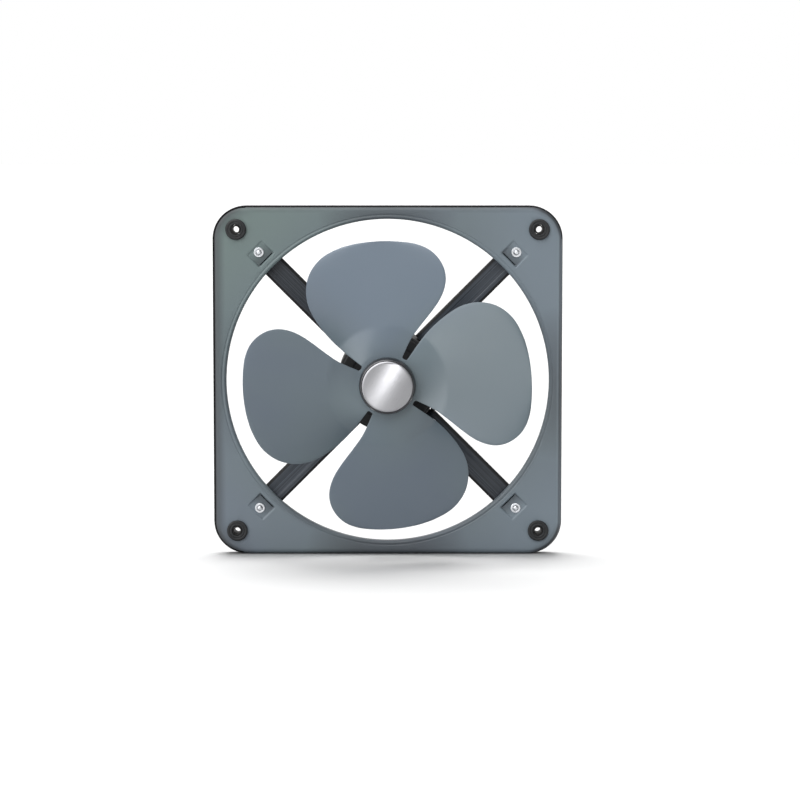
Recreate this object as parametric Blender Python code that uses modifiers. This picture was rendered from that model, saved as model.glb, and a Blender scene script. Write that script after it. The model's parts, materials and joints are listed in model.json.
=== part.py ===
"""Wall exhaust fan: a pressed square panel, four arms, an enclosed motor and a four-blade wheel.

Frame: +Z up. The room is at -Y and the fan blows towards +Y.
The origin is on the shaft's axis, in the wall plane where the corner bushes rest.
"""

from math import atan2, cos, pi, radians, sin, tan

import bmesh
import bpy
from mathutils import Matrix, Vector

# ---- Driving dimensions, in metres ----
GAP = 0.0003
PANEL_SIDE = 0.370
PANEL_CORNER_R = 0.035
PANEL_EDGE_R = 0.005
PANEL_RIM_Y = -0.002
FRONT_Y = -0.022
SHEET = 0.0012
INLET_R = 0.171
INLET_LIP_R = 0.003
INLET_LIP_DEPTH = 0.009
BUSH_SPACING = 0.320
BUSH_R = 0.011
BOLT_HOLE_R = 0.0034
PAD_INNER_R = 0.1805
PAD_OUTER_R = 0.1990
PAD_WIDTH = 0.0224
PAD_DEPTH = 0.0020
PAD_SCREW_R = 0.1923
ARM_Y = -0.011
ARM_WIDTH = 0.0245
ARM_SHEET = 0.0018
ARM_FLANGE = 0.008
LUG_SCREW_R = 0.066
MOTOR_R = 0.053
MOTOR_BORE_R = 0.0502
MOTOR_FRONT_Y = -0.035
MOTOR_NOSE_Y = -0.047
HOUSING_Y = (-0.012, 0.044)
MOTOR_REAR_Y = 0.055
CORE_Y = (-0.008, 0.032)
SHAFT_R = 0.005
SHAFT_Y = (-0.0957, 0.0509)
WHEEL_Y = -0.082
TIP_R = 0.150
CAP_R = 0.0295
CAP_FRONT_Y = -0.099

# ---- Blades ----
BLADES = 4
BLADE_COLUMNS = 8
PITCH_SLOPE = 0.34
PITCH_START_R = 0.033
PITCH_FULL_R = 0.060
CAMBER = 0.003
# Radius, then the angles of the trailing and the leading edge from the blade's own axis, in degrees.
BLADE_OUTLINE = (
    (0.0330, 54.4, -28.8),
    (0.0450, 53.8, -26.9),
    (0.0560, 53.3, -26.7),
    (0.0700, 52.3, -28.2),
    (0.0850, 50.7, -29.9),
    (0.1000, 48.6, -30.8),
    (0.1130, 46.2, -30.4),
    (0.1250, 42.7, -28.7),
    (0.1340, 39.0, -26.1),
    (0.1405, 35.3, -23.1),
    (0.1455, 30.9, -19.7),
    (0.1486, 26.0, -16.0),
    (TIP_R, 18.0, -10.8),
)

# ---- Ball bearings, 10 x 30 x 9 mm ----
BEARING_R = 0.015
BEARING_WIDTH = 0.009
FRONT_BEARING_Y = -0.0445
REAR_BEARING_Y = 0.0414
OUTER_RACE_R = 0.0126
INNER_RACE_R = 0.0074
BALL_R = 0.0023
BALL_PATH_R = 0.010
BALLS = 7

# ---- Motor's inner parts ----
SLOTS = 12
TOOTH_SHARE = 0.5
STATOR_BORE_R = 0.0288
SLOT_R = 0.0385
ROTOR_R = 0.0281
END_TURN = 0.0150
BOLT_CIRCLE_R = 0.0445
BOLT_ANGLES = (15, 105, 195, 285)
BOLT_R = 0.0020
BOLT_HOLE = 0.0024

# ---- Terminal box, under the motor ----
BOX_X = 0.024
BOX_Y = (0.010, 0.046)
BOX_Z = (-0.086, -0.0563)
BOX_WALL = 0.0025
BOX_SCREW_X = 0.0195
GLAND_Y, GLAND_Z = 0.028, -0.071
LEAD_Y = 0.038

CORNERS = {
    "top_right": 45,
    "top_left": 135,
    "bottom_left": 225,
    "bottom_right": 315,
}

# slot: colour, metallic, roughness
FINISHES = {
    "panel_grey": ((0.18, 0.22, 0.23), 0.0, 0.38),
    "blade_grey": ((0.19, 0.23, 0.27), 0.0, 0.36),
    "gloss_black": ((0.02, 0.022, 0.024), 0.0, 0.25),
    "motor_black": ((0.02, 0.02, 0.022), 0.0, 0.45),
    "rubber": ((0.025, 0.025, 0.025), 0.0, 0.8),
    "zinc_steel": ((0.70, 0.70, 0.71), 1.0, 0.3),
    "dark_steel": ((0.22, 0.22, 0.23), 1.0, 0.4),
    "chrome": ((0.82, 0.82, 0.84), 1.0, 0.16),
    "cast_aluminium": ((0.60, 0.61, 0.63), 1.0, 0.45),
    "core_steel": ((0.12, 0.12, 0.13), 0.9, 0.5),
    "copper": ((0.60, 0.26, 0.10), 1.0, 0.35),
    "black_plastic": ((0.025, 0.025, 0.027), 0.0, 0.5),
    "grey_plastic": ((0.35, 0.36, 0.38), 0.0, 0.5),
    "sleeving": ((0.40, 0.36, 0.28), 0.0, 0.7),
}

# ---- Scene ----
for old in list(bpy.data.objects):
    bpy.data.objects.remove(old)


def new_collection(name):
    collection = bpy.data.collections.new(name)
    bpy.context.scene.collection.children.link(collection)
    return collection


def new_empty(name):
    empty = bpy.data.objects.new(name, None)
    FAN.objects.link(empty)
    return empty


def new_material(name, colour, metallic, roughness):
    material = bpy.data.materials.new(name)
    material.use_nodes = True
    shader = material.node_tree.nodes["Principled BSDF"]
    shader.inputs["Base Color"].default_value = (*colour, 1.0)
    shader.inputs["Metallic"].default_value = metallic
    shader.inputs["Roughness"].default_value = roughness
    return material


FAN = new_collection("exhaust_fan")
CUTTERS = new_collection("cutters")
MATERIALS = {name: new_material(name, *finish) for name, finish in FINISHES.items()}
FRAME = new_empty("frame")
ROTOR = new_empty("rotor_axis")
FRONT_CAGE = new_empty("front_cage_axis")
REAR_CAGE = new_empty("rear_cage_axis")

# Local Z turned to point along +Y.
ALONG_Y = (-pi / 2, 0, 0)


# ---- Objects ----
def place(name, mesh, slot, parent=FRAME, location=(0, 0, 0), rotation=(0, 0, 0)):
    """A part of the fan, parented to its body's empty."""
    obj = bpy.data.objects.new(name, mesh)
    obj.location = location
    obj.rotation_euler = rotation
    obj.parent = parent
    if not mesh.materials:
        mesh.materials.append(MATERIALS[slot])
    mesh.shade_smooth()
    mesh.set_sharp_from_angle(angle=radians(30))
    FAN.objects.link(obj)
    return obj


def helper(name, mesh, matrix=None):
    """A cutter, or a shape that a Boolean joins to a part."""
    obj = bpy.data.objects.new(name, mesh)
    obj.matrix_world = matrix or Matrix.Identity(4)
    obj.hide_render = True
    obj.display_type = "WIRE"
    CUTTERS.objects.link(obj)
    return obj


def boolean(obj, tool, operation="DIFFERENCE"):
    modifier = obj.modifiers.new(tool.name, "BOOLEAN")
    modifier.operation = operation
    modifier.object = tool
    return obj


def evaluated_mesh(obj):
    """The object's mesh with its modifiers applied."""
    graph = bpy.context.evaluated_depsgraph_get()
    graph.update()
    return bpy.data.meshes.new_from_object(obj.evaluated_get(graph))


def sheet(obj, thickness):
    solidify = obj.modifiers.new("sheet", "SOLIDIFY")
    solidify.thickness = thickness
    solidify.offset = -1
    solidify.use_even_offset = True


# ---- Meshes ----
def mesh_from(bm, name):
    mesh = bpy.data.meshes.new(name)
    bm.to_mesh(mesh)
    bm.free()
    return mesh


def cylinder(name, radius, low, high, segments=16):
    bm = bmesh.new()
    spot = Matrix.Translation((0, 0, (low + high) / 2))
    bmesh.ops.create_cone(
        bm, cap_ends=True, segments=segments, radius1=radius, radius2=radius, depth=high - low, matrix=spot
    )
    return mesh_from(bm, name)


def block(name, low, high):
    """A box between two corners."""
    low, high = Vector(low), Vector(high)
    bm = bmesh.new()
    size = Matrix.Diagonal((*(high - low), 1))
    bmesh.ops.create_cube(bm, size=1, matrix=Matrix.Translation((low + high) / 2) @ size)
    return mesh_from(bm, name)


def profile_mesh(name, points, closed):
    edges = [(i, i + 1) for i in range(len(points) - 1)]
    if closed:
        edges.append((len(points) - 1, 0))
    mesh = bpy.data.meshes.new(name)
    mesh.from_pydata([(r, 0, h) for r, h in points], edges, [])
    return mesh


def turn(obj, segments):
    """Spins the object's profile round its local Z."""
    screw = obj.modifiers.new("turn", "SCREW")
    screw.axis = "Z"
    screw.steps = segments
    screw.render_steps = segments
    screw.use_merge_vertices = True
    screw.merge_threshold = 0.00001
    return obj


def turned(name, points, slot, parent=FRAME, segments=24, closed=True, location=(0, 0, 0), rotation=ALONG_Y):
    """A turned part. Its profile of (radius, height) runs down the outer side from the top."""
    obj = place(name, profile_mesh(name, points, closed), slot, parent, location, rotation)
    return turn(obj, segments)


def ring(inner, outer, low, high):
    """The profile of a plain ring."""
    return [(outer, high), (outer, low), (inner, low), (inner, high)]


def spoke(angle):
    """The turn about the shaft that points local X at an angle from +X towards +Z, in degrees."""
    return Matrix.Rotation(radians(-angle), 4, "Y")


def on_circle(angle, radius, y=0.0):
    a = radians(angle)
    return Vector((radius * cos(a), y, radius * sin(a)))


def axial(angle, radius, y=0.0):
    """Puts local Z along +Y at a point on a circle round the shaft."""
    return Matrix.Translation(on_circle(angle, radius, y)) @ Matrix.Rotation(-pi / 2, 4, "X")


# ---- Panel ----
SIDE_STEPS = 11
ARC_STEPS = 4


def panel_outline():
    """Round the panel: the side's points run uniformly in angle, then each corner follows its arc.

    Each entry is (point on the side or arc's centre, direction out of the outline).
    """
    half = PANEL_SIDE / 2
    straight = half - PANEL_CORNER_R
    limit = atan2(straight, half)
    entries = []
    for i in range(SIDE_STEPS):
        a = limit * (2 * i / SIDE_STEPS - 1)
        entries.append((Vector((half, 0, half * tan(a))), Vector((1, 0, 0))))
    for i in range(ARC_STEPS):
        a = pi / 2 * i / ARC_STEPS
        out = Vector((cos(a), 0, sin(a)))
        entries.append((Vector((straight, 0, straight)) + PANEL_CORNER_R * out, out))
    quarters = [Matrix.Rotation(-quarter * pi / 2, 3, "Y") for quarter in range(4)]
    return [(turn_to @ point, turn_to @ out) for turn_to in quarters for point, out in entries]


def square_row(inset, y):
    return [point - inset * out + Vector((0, y, 0)) for point, out in panel_outline()]


def circle_row(radius, y):
    return [radius * point.normalized() + Vector((0, y, 0)) for point, out in panel_outline()]


def loft(name, rows, facing):
    """A skin of quads through closed loops of points, turned so that the given face looks towards -Y."""
    bm = bmesh.new()
    made = [[bm.verts.new(point) for point in row] for row in rows]
    for near, far in zip(made, made[1:]):
        for i in range(len(near)):
            j = (i + 1) % len(near)
            bm.faces.new((near[i], near[j], far[j], far[i]))
    bmesh.ops.recalc_face_normals(bm, faces=bm.faces)
    bm.faces.ensure_lookup_table()
    if bm.faces[facing].normal.y > 0:
        bmesh.ops.reverse_faces(bm, faces=bm.faces)
    return mesh_from(bm, name)


def make_panel():
    lip, edge, k = INLET_LIP_R, PANEL_EDGE_R, 1 - cos(pi / 4)
    rows = [
        circle_row(INLET_R, FRONT_Y + INLET_LIP_DEPTH),
        circle_row(INLET_R, FRONT_Y + lip),
        circle_row(INLET_R + lip * k, FRONT_Y + lip * k),
        circle_row(INLET_R + lip, FRONT_Y),
        square_row(edge, FRONT_Y),
        square_row(edge * k, FRONT_Y + edge * k),
        square_row(0, FRONT_Y + edge),
        square_row(0, PANEL_RIM_Y),
    ]
    front_face = 3 * len(rows[0])
    panel = place("frame_panel", loft("frame_panel", rows, front_face), "panel_grey")
    sheet(panel, SHEET)
    back = FRONT_Y + SHEET
    floor = FRONT_Y + PAD_DEPTH
    w = PAD_WIDTH / 2
    boss = block(
        "pad",
        (PAD_INNER_R - SHEET, back - SHEET / 2, -w - SHEET),
        (PAD_OUTER_R + SHEET, floor + SHEET, w + SHEET),
    )
    pocket = block("pocket", (PAD_INNER_R, FRONT_Y - SHEET, -w), (PAD_OUTER_R, floor, w))
    slot = block("slot", (PAD_INNER_R + 0.0005, FRONT_Y - SHEET, -w + 0.0015), (PAD_INNER_R + 0.0021, -0.015, w - 0.0015))
    screw_hole = cylinder("screw_hole", 0.0028, FRONT_Y - 0.005, -0.010, 12)
    bush_hole = cylinder("bush_hole", BUSH_R - 0.003, FRONT_Y - 0.005, -0.010, 16)
    for name, angle in CORNERS.items():
        boolean(panel, helper(f"pad_{name}", boss, spoke(angle)), "UNION")
        boolean(panel, helper(f"pocket_{name}", pocket, spoke(angle)))
        boolean(panel, helper(f"slot_{name}", slot, spoke(angle)))
        boolean(panel, helper(f"pad_hole_{name}", screw_hole, axial(angle, PAD_SCREW_R)))
        boolean(panel, helper(f"bush_hole_{name}", bush_hole, axial(angle, BUSH_SPACING / 2**0.5)))


def make_bushes():
    """Rubber bushes clipped into the panel's corners, each with a steel sleeve for the wall bolt."""
    front_lip, back_lip = FRONT_Y - GAP, FRONT_Y + SHEET + GAP
    groove, bore = BUSH_R - 0.0033, 0.0053
    bush = [
        (BUSH_R, 0),
        (BUSH_R, back_lip),
        (groove, back_lip),
        (groove, front_lip),
        (BUSH_R, front_lip),
        (BUSH_R, FRONT_Y - 0.0022),
        (BUSH_R - 0.0010, FRONT_Y - 0.0032),
        (bore, FRONT_Y - 0.0032),
        (bore, 0),
    ]
    sleeve = ring(BOLT_HOLE_R, bore - GAP, FRONT_Y - 0.0024, -GAP)
    for name, angle in CORNERS.items():
        spot = on_circle(angle, BUSH_SPACING / 2**0.5)
        turned(f"corner_bush_{name}", bush, "rubber", FRAME, 14, location=spot)
        turned(f"bush_sleeve_{name}", sleeve, "dark_steel", FRAME, 10, location=spot)


# ---- Arms ----
ARM_INNER_R = MOTOR_R + 0.0012
ARM_CHANNEL_R = 0.175
ARM_STEP_R = 0.184
ARM_OUTER_R = 0.2005
ARM_FOLD_R = 0.003


def arm_section(x):
    """Points across the arm: flange, fold, web, fold, flange."""
    half, r, k = ARM_WIDTH / 2, ARM_FOLD_R, 1 - cos(pi / 4)
    side = [(half, ARM_Y + ARM_FLANGE), (half, ARM_Y + r), (half - r * k, ARM_Y + r * k), (half - r, ARM_Y)]
    left = [Vector((x, y, w)) for w, y in side]
    right = [Vector((x, y, -w)) for w, y in reversed(side)]
    return left + right


def arm_skin():
    """The arm's front skin: a channel, then a flat tongue that steps forward to the panel."""
    bm = bmesh.new()
    near = [bm.verts.new(point) for point in arm_section(ARM_INNER_R)]
    far = [bm.verts.new(point) for point in arm_section(ARM_CHANNEL_R)]
    for i in range(len(near) - 1):
        bm.faces.new((near[i], near[i + 1], far[i + 1], far[i]))
    tongue_y = FRONT_Y + PAD_DEPTH + SHEET + GAP
    half = ARM_WIDTH / 2 - ARM_FOLD_R
    edge = (far[3], far[4])
    for x, y in ((ARM_CHANNEL_R + 0.002, ARM_Y), (ARM_STEP_R, tongue_y), (ARM_OUTER_R, tongue_y)):
        new = (bm.verts.new((x, y, half)), bm.verts.new((x, y, -half)))
        tongue = bm.faces.new((edge[0], edge[1], new[1], new[0]))
        edge = new
    bmesh.ops.recalc_face_normals(bm, faces=bm.faces)
    if tongue.normal.y > 0:
        bmesh.ops.reverse_faces(bm, faces=bm.faces)
    return mesh_from(bm, "motor_arm")


def make_arms():
    template = helper("arm_template", arm_skin())
    sheet(template, ARM_SHEET)
    tongue_back = FRONT_Y + PAD_DEPTH + SHEET + GAP + ARM_SHEET
    nut = cylinder("weld_nut", 0.0048, tongue_back - ARM_SHEET / 2, tongue_back + 0.0040, 6)
    boolean(template, helper("weld_nut", nut, axial(0, PAD_SCREW_R)), "UNION")
    hole = cylinder("arm_hole", 0.0028, FRONT_Y, 0.005, 12)
    for name, radius in (("tongue_hole", PAD_SCREW_R), ("lug_screw_hole", LUG_SCREW_R)):
        boolean(template, helper(name, hole, axial(0, radius)))
    mesh = evaluated_mesh(template)
    bpy.data.objects.remove(template)
    for name, angle in CORNERS.items():
        place(f"motor_arm_{name}", mesh, "gloss_black", rotation=spoke(angle).to_euler())


def make_arm_screws():
    """Pan-head screws that hold the arms to the panel, and hex screws that hold them to the motor."""
    seat = FRONT_Y + PAD_DEPTH - GAP
    pan_head = [
        (0, -0.0090),
        (0.0025, -0.0090),
        (0.0025, seat),
        (0.0055, seat),
        (0.0055, seat - 0.0010),
        (0.0045, seat - 0.0010),
        (0.0043, seat - 0.0026),
        (0.0028, seat - 0.0034),
        (0, seat - 0.0036),
    ]
    seat = ARM_Y - GAP
    template = helper("lug_screw", cylinder("lug_screw", 0.0025, seat - 0.0010, -0.0015, 8))
    boolean(template, helper("lug_washer", cylinder("lug_washer", 0.0055, seat - 0.0010, seat, 12)), "UNION")
    boolean(template, helper("lug_head", cylinder("lug_head", 0.0046, seat - 0.0045, seat - 0.0005, 6)), "UNION")
    hex_mesh = evaluated_mesh(template)
    bpy.data.objects.remove(template)
    for name, angle in CORNERS.items():
        spot = on_circle(angle, PAD_SCREW_R)
        turned(f"panel_screw_{name}", pan_head, "zinc_steel", FRAME, 10, False, spot)
        place(f"motor_screw_{name}", hex_mesh, "zinc_steel", FRAME, on_circle(angle, LUG_SCREW_R), ALONG_Y)


# ---- Motor ----
SEAT_R = BEARING_R + GAP


def cut_bolt_holes(obj, low, high):
    hole = cylinder("bolt_hole", BOLT_HOLE, low, high, 10)
    for i, angle in enumerate(BOLT_ANGLES):
        boolean(obj, helper(f"{obj.name}_bolt_hole_{i}", hole, axial(angle, BOLT_CIRCLE_R)))


def make_front_shield():
    """End shield with a stepped rim and a nose that holds the front bearing."""
    face, nose, rim = MOTOR_FRONT_Y, MOTOR_NOSE_Y, HOUSING_Y[0] - GAP
    wall = 0.0038
    profile = [
        (MOTOR_R, rim),
        (MOTOR_R, face + 0.0028),
        (MOTOR_R - 0.0008, face + 0.0020),
        (MOTOR_R - 0.0026, face + 0.0020),
        (MOTOR_R - 0.0026, face + 0.0008),
        (MOTOR_R - 0.0034, face),
        (0.0240, face),
        (0.0215, face - 0.0030),
        (0.0200, nose + 0.0014),
        (0.0186, nose),
        (0.0065, nose),
        (0.0065, FRONT_BEARING_Y - GAP),
        (SEAT_R, FRONT_BEARING_Y - GAP),
        (SEAT_R, face + wall),
        (MOTOR_R - 0.0050, face + wall),
        (MOTOR_R - 0.0030, face + wall + 0.0020),
        (MOTOR_R - 0.0030, rim),
    ]
    cut_bolt_holes(turned("motor_front_shield", profile, "motor_black", FRAME, 32), -0.045, -0.025)


def make_housing():
    """Tube with four lugs for the arms, and a flat under it for the terminal box."""
    low, high = HOUSING_Y
    housing = place("motor_housing", cylinder("motor_housing", MOTOR_R, low, high, 32), "motor_black", rotation=ALONG_Y)
    lug_front = ARM_Y + ARM_SHEET + GAP
    lug = block("lug", (MOTOR_R - 0.004, lug_front, -0.0095), (LUG_SCREW_R + 0.009, -0.003, 0.0095))
    for name, angle in CORNERS.items():
        boolean(housing, helper(f"lug_{name}", lug, spoke(angle)), "UNION")
    flat = block("flat", (-0.020, BOX_Y[0] + 0.002, BOX_Z[1] + GAP), (0.020, high - 0.001, -0.040))
    boolean(housing, helper("box_flat", flat), "UNION")
    bore = cylinder("motor_bore", MOTOR_BORE_R, low - 0.01, high + 0.01, 32)
    boolean(housing, helper("motor_bore", bore, Matrix.Rotation(-pi / 2, 4, "X")))
    hole = cylinder("lug_hole", 0.0028, lug_front - 0.005, 0.005, 12)
    for name, angle in CORNERS.items():
        boolean(housing, helper(f"lug_hole_{name}", hole, axial(angle, LUG_SCREW_R)))
    lead_hole = cylinder("lead_hole", 0.0040, -0.065, -0.045, 12)
    boolean(housing, helper("housing_lead_hole", lead_hole, Matrix.Translation((0, LEAD_Y, 0))))


def make_rear_shield():
    """Closed end shield with the rear bearing's seat and four bosses for the through bolts."""
    face, rim = MOTOR_REAR_Y, HOUSING_Y[1] + GAP
    wall = face - 0.0033
    profile = [
        (0, face),
        (MOTOR_R - 0.0060, face),
        (MOTOR_R, face - 0.0060),
        (MOTOR_R, rim),
        (MOTOR_R - 0.0030, rim),
        (MOTOR_R - 0.0030, wall - 0.0030),
        (MOTOR_R - 0.0060, wall),
        (0.0190, wall),
        (0.0190, REAR_BEARING_Y - 0.0004),
        (SEAT_R, REAR_BEARING_Y - 0.0004),
        (SEAT_R, wall),
        (0, wall),
    ]
    shield = turned("motor_rear_shield", profile, "motor_black", FRAME, 32, False)
    boss = cylinder("bolt_boss", 0.0048, rim + 0.0003, face - 0.0020, 12)
    for i, angle in enumerate(BOLT_ANGLES):
        boolean(shield, helper(f"bolt_boss_{i}", boss, axial(angle, BOLT_CIRCLE_R)), "UNION")
    cut_bolt_holes(shield, 0.040, 0.0515)
    earth_hole = cylinder("earth_hole", 0.0028, face - 0.0026, face + 0.005, 12)
    boolean(shield, helper("earth_hole", earth_hole, axial(90, 0.032)))


def make_through_bolts():
    """Bolts that clamp the two end shields to the housing."""
    seat = MOTOR_FRONT_Y - GAP
    template = helper("through_bolt", cylinder("through_bolt", BOLT_R, seat - 0.001, 0.0505, 10))
    boolean(template, helper("bolt_head", cylinder("bolt_head", 0.0038, seat - 0.0032, seat, 6)), "UNION")
    mesh = evaluated_mesh(template)
    bpy.data.objects.remove(template)
    for i, angle in enumerate(BOLT_ANGLES):
        place(f"motor_bolt_{i + 1}", mesh, "dark_steel", FRAME, on_circle(angle, BOLT_CIRCLE_R), ALONG_Y)


def flat_outline(name, loops, low, high):
    """A solid between two heights, from the loops of its outline and holes."""
    curve = bpy.data.curves.new(name, "CURVE")
    curve.dimensions = "2D"
    curve.fill_mode = "BOTH"
    curve.extrude = (high - low) / 2
    for points in loops:
        spline = curve.splines.new("POLY")
        spline.points.add(len(points) - 1)
        for point, (x, y) in zip(spline.points, points):
            point.co = (x, y, 0, 1)
        spline.use_cyclic_u = True
    template = helper(name, curve)
    mesh = evaluated_mesh(template)
    bpy.data.objects.remove(template)
    bm = bmesh.new()
    bm.from_mesh(mesh)
    bmesh.ops.remove_doubles(bm, verts=bm.verts, dist=0.00001)
    bmesh.ops.translate(bm, verts=bm.verts, vec=(0, 0, (low + high) / 2))
    bmesh.ops.recalc_face_normals(bm, faces=bm.faces)
    return mesh_from(bm, name)


def polar(radius, angle):
    return (radius * cos(angle), radius * sin(angle))


def slotted_bore():
    """The stator's bore: a tooth, then a slot, round the circle."""
    pitch = 2 * pi / SLOTS
    points = []
    for i in range(SLOTS):
        start, end = i * pitch, (i + TOOTH_SHARE) * pitch
        points += [polar(STATOR_BORE_R, start), polar(STATOR_BORE_R, end)]
        points += [polar(SLOT_R, end), polar(SLOT_R, start + pitch)]
    return points


def make_stator():
    """Laminated core, and the winding that fills its slots and turns over at both ends."""
    low, high = CORE_Y
    outline = [polar(MOTOR_BORE_R - GAP - 0.0002, 2 * pi * i / 32) for i in range(32)]
    core = place("stator_core", flat_outline("stator_core", [outline, slotted_bore()], low, high), "core_steel", rotation=ALONG_Y)
    cut_bolt_holes(core, low - 0.01, high + 0.01)
    low, high = low - GAP, high + GAP
    inner, outer, soft = 0.0300, 0.0380, 0.0020
    front = [
        (outer, low),
        (outer, low - END_TURN + soft),
        (outer - soft, low - END_TURN),
        (inner + soft, low - END_TURN),
        (inner, low - END_TURN + soft),
        (inner, low),
    ]
    rear = [
        (outer - soft, high + END_TURN),
        (outer, high + END_TURN - soft),
        (outer, high),
        (inner, high),
        (inner, high + END_TURN - soft),
        (inner + soft, high + END_TURN),
    ]
    winding = turned("stator_winding", front, "copper", FRAME, 20)
    rear_turns = turn(helper("rear_turns", profile_mesh("rear_turns", rear, True)), 20)
    rear_turns.rotation_euler = ALONG_Y
    boolean(winding, rear_turns, "UNION")
    pitch = 2 * pi / SLOTS
    width = 0.0300 * pitch * (1 - TOOTH_SHARE) / 2 - 0.0008
    bar = block("slot_bar", (0.0310, -width, low - 0.003), (0.0372, width, high + 0.003))
    for i in range(SLOTS):
        angle = pitch * (i + (1 + TOOTH_SHARE) / 2)
        turn_to = Matrix.Rotation(-pi / 2, 4, "X") @ Matrix.Rotation(angle, 4, "Z")
        boolean(winding, helper(f"slot_bar_{i}", bar, turn_to), "UNION")


def make_rotor():
    low, high = CORE_Y
    ring_in, ring_out, ring_depth, step_r = 0.0190, 0.0260, 0.0040, 0.0070
    core = [
        (ring_out, high + ring_depth),
        (ring_out, high),
        (ROTOR_R, high),
        (ROTOR_R, low),
        (ring_out, low),
        (ring_out, low - ring_depth),
        (ring_in, low - ring_depth),
        (ring_in, low),
        (step_r + GAP, low),
        (step_r + GAP, high),
        (ring_in, high),
        (ring_in, high + ring_depth),
    ]
    turned("rotor_core", core, "core_steel", ROTOR, 24)
    front, rear = SHAFT_Y
    step_front = FRONT_BEARING_Y + BEARING_WIDTH + GAP
    step_rear = REAR_BEARING_Y - GAP
    shaft = [
        (0, rear),
        (SHAFT_R - 0.0005, rear),
        (SHAFT_R, rear - 0.0005),
        (SHAFT_R, step_rear),
        (step_r, step_rear),
        (step_r, step_front),
        (SHAFT_R, step_front),
        (SHAFT_R, front + 0.0008),
        (SHAFT_R - 0.0008, front),
        (0, front),
    ]
    turned("shaft", shaft, "dark_steel", ROTOR, 16, False)


def make_bearing(side, low, cage_axis):
    """Outer race in the shield, inner race on the shaft, and the cage of balls that rolls between them."""
    high = low + BEARING_WIDTH
    middle = (low + high) / 2
    turned(f"{side}_bearing_outer_race", ring(OUTER_RACE_R, BEARING_R, low, high), "dark_steel", FRAME, 24)
    turned(f"{side}_bearing_inner_race", ring(SHAFT_R + GAP, INNER_RACE_R, low, high), "dark_steel", ROTOR, 20)
    cage_ring = ring(0.0092, 0.0108, middle - 0.0011, middle + 0.0011)
    cage = turned(f"{side}_bearing_cage", cage_ring, "zinc_steel", cage_axis, 2 * BALLS)
    for i in range(BALLS):
        bm = bmesh.new()
        bmesh.ops.create_icosphere(bm, subdivisions=2, radius=BALL_R)
        spot = axial(360 * i / BALLS, BALL_PATH_R, middle)
        boolean(cage, helper(f"{side}_ball_{i}", mesh_from(bm, "ball"), spot), "UNION")


def make_wave_washer():
    """Spring washer behind the rear bearing: a flat ring bent into waves."""
    count, waves, height = 24, 3, 0.00012
    middle = REAR_BEARING_Y + BEARING_WIDTH + 0.0007
    bm = bmesh.new()
    rings = []
    for radius in (0.0125, 0.0148):
        angles = [2 * pi * i / count for i in range(count)]
        points = [Vector((radius * cos(a), middle + height * sin(waves * a), radius * sin(a))) for a in angles]
        rings.append([bm.verts.new(point) for point in points])
    for i in range(count):
        j = (i + 1) % count
        bm.faces.new((rings[0][i], rings[1][i], rings[1][j], rings[0][j]))
    washer = place("bearing_wave_washer", mesh_from(bm, "bearing_wave_washer"), "zinc_steel")
    solidify = washer.modifiers.new("sheet", "SOLIDIFY")
    solidify.thickness = 0.0003
    solidify.offset = 0


# ---- Terminal box ----
def make_terminal_box():
    low, high = (-BOX_X, BOX_Y[0], BOX_Z[0]), (BOX_X, BOX_Y[1], BOX_Z[1])
    box = place("terminal_box", block("terminal_box", low, high), "black_plastic")
    t = BOX_WALL
    inner_low, inner_high = (-BOX_X + t, BOX_Y[0] + t, BOX_Z[0] - 0.01), (BOX_X - t, BOX_Y[1] - t, BOX_Z[1] - t)
    boolean(box, helper("box_hollow", block("box_hollow", inner_low, inner_high)))
    boss = cylinder("box_boss", 0.0038, BOX_Z[0] + 0.0002, BOX_Z[1] - 0.001, 12)
    hole = cylinder("box_hole", 0.0020, BOX_Z[0] - 0.01, -0.0730, 10)
    for name, x in (("left", -BOX_SCREW_X), ("right", BOX_SCREW_X)):
        spot = Matrix.Translation((x, GLAND_Y + 0.0125, 0))
        boolean(box, helper(f"box_boss_{name}", boss, spot), "UNION")
        boolean(box, helper(f"box_hole_{name}", hole, spot))
    lead_hole = cylinder("box_lead_hole", 0.0040, -0.065, -0.050, 12)
    boolean(box, helper("box_lead_hole", lead_hole, Matrix.Translation((0, LEAD_Y, 0))))
    gland_hole = cylinder("gland_hole", 0.0063, 0.0200, 0.0300, 16)
    boolean(box, helper("gland_hole", gland_hole, Matrix.Translation((0, GLAND_Y, GLAND_Z)) @ ALONG_X))
    cover_high = BOX_Z[0] - GAP
    cover_low = cover_high - 0.0024
    cover = block("terminal_box_cover", (-BOX_X, BOX_Y[0], cover_low), (BOX_X, BOX_Y[1], cover_high))
    cover = place("terminal_box_cover", cover, "black_plastic")
    seat = cover_low - GAP
    screw = [
        (0, -0.0745),
        (0.0016, -0.0745),
        (0.0016, seat),
        (0.0034, seat),
        (0.0032, seat - 0.0016),
        (0.0018, seat - 0.0022),
        (0, seat - 0.0022),
    ]
    for name, x in (("left", -BOX_SCREW_X), ("right", BOX_SCREW_X)):
        spot = Vector((x, GLAND_Y + 0.0125, 0))
        boolean(cover, helper(f"cover_hole_{name}", hole, Matrix.Translation(spot)))
        turned(f"box_cover_screw_{name}", screw, "zinc_steel", FRAME, 12, False, spot, (0, 0, 0))


ALONG_X = Matrix.Rotation(pi / 2, 4, "Y")


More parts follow.
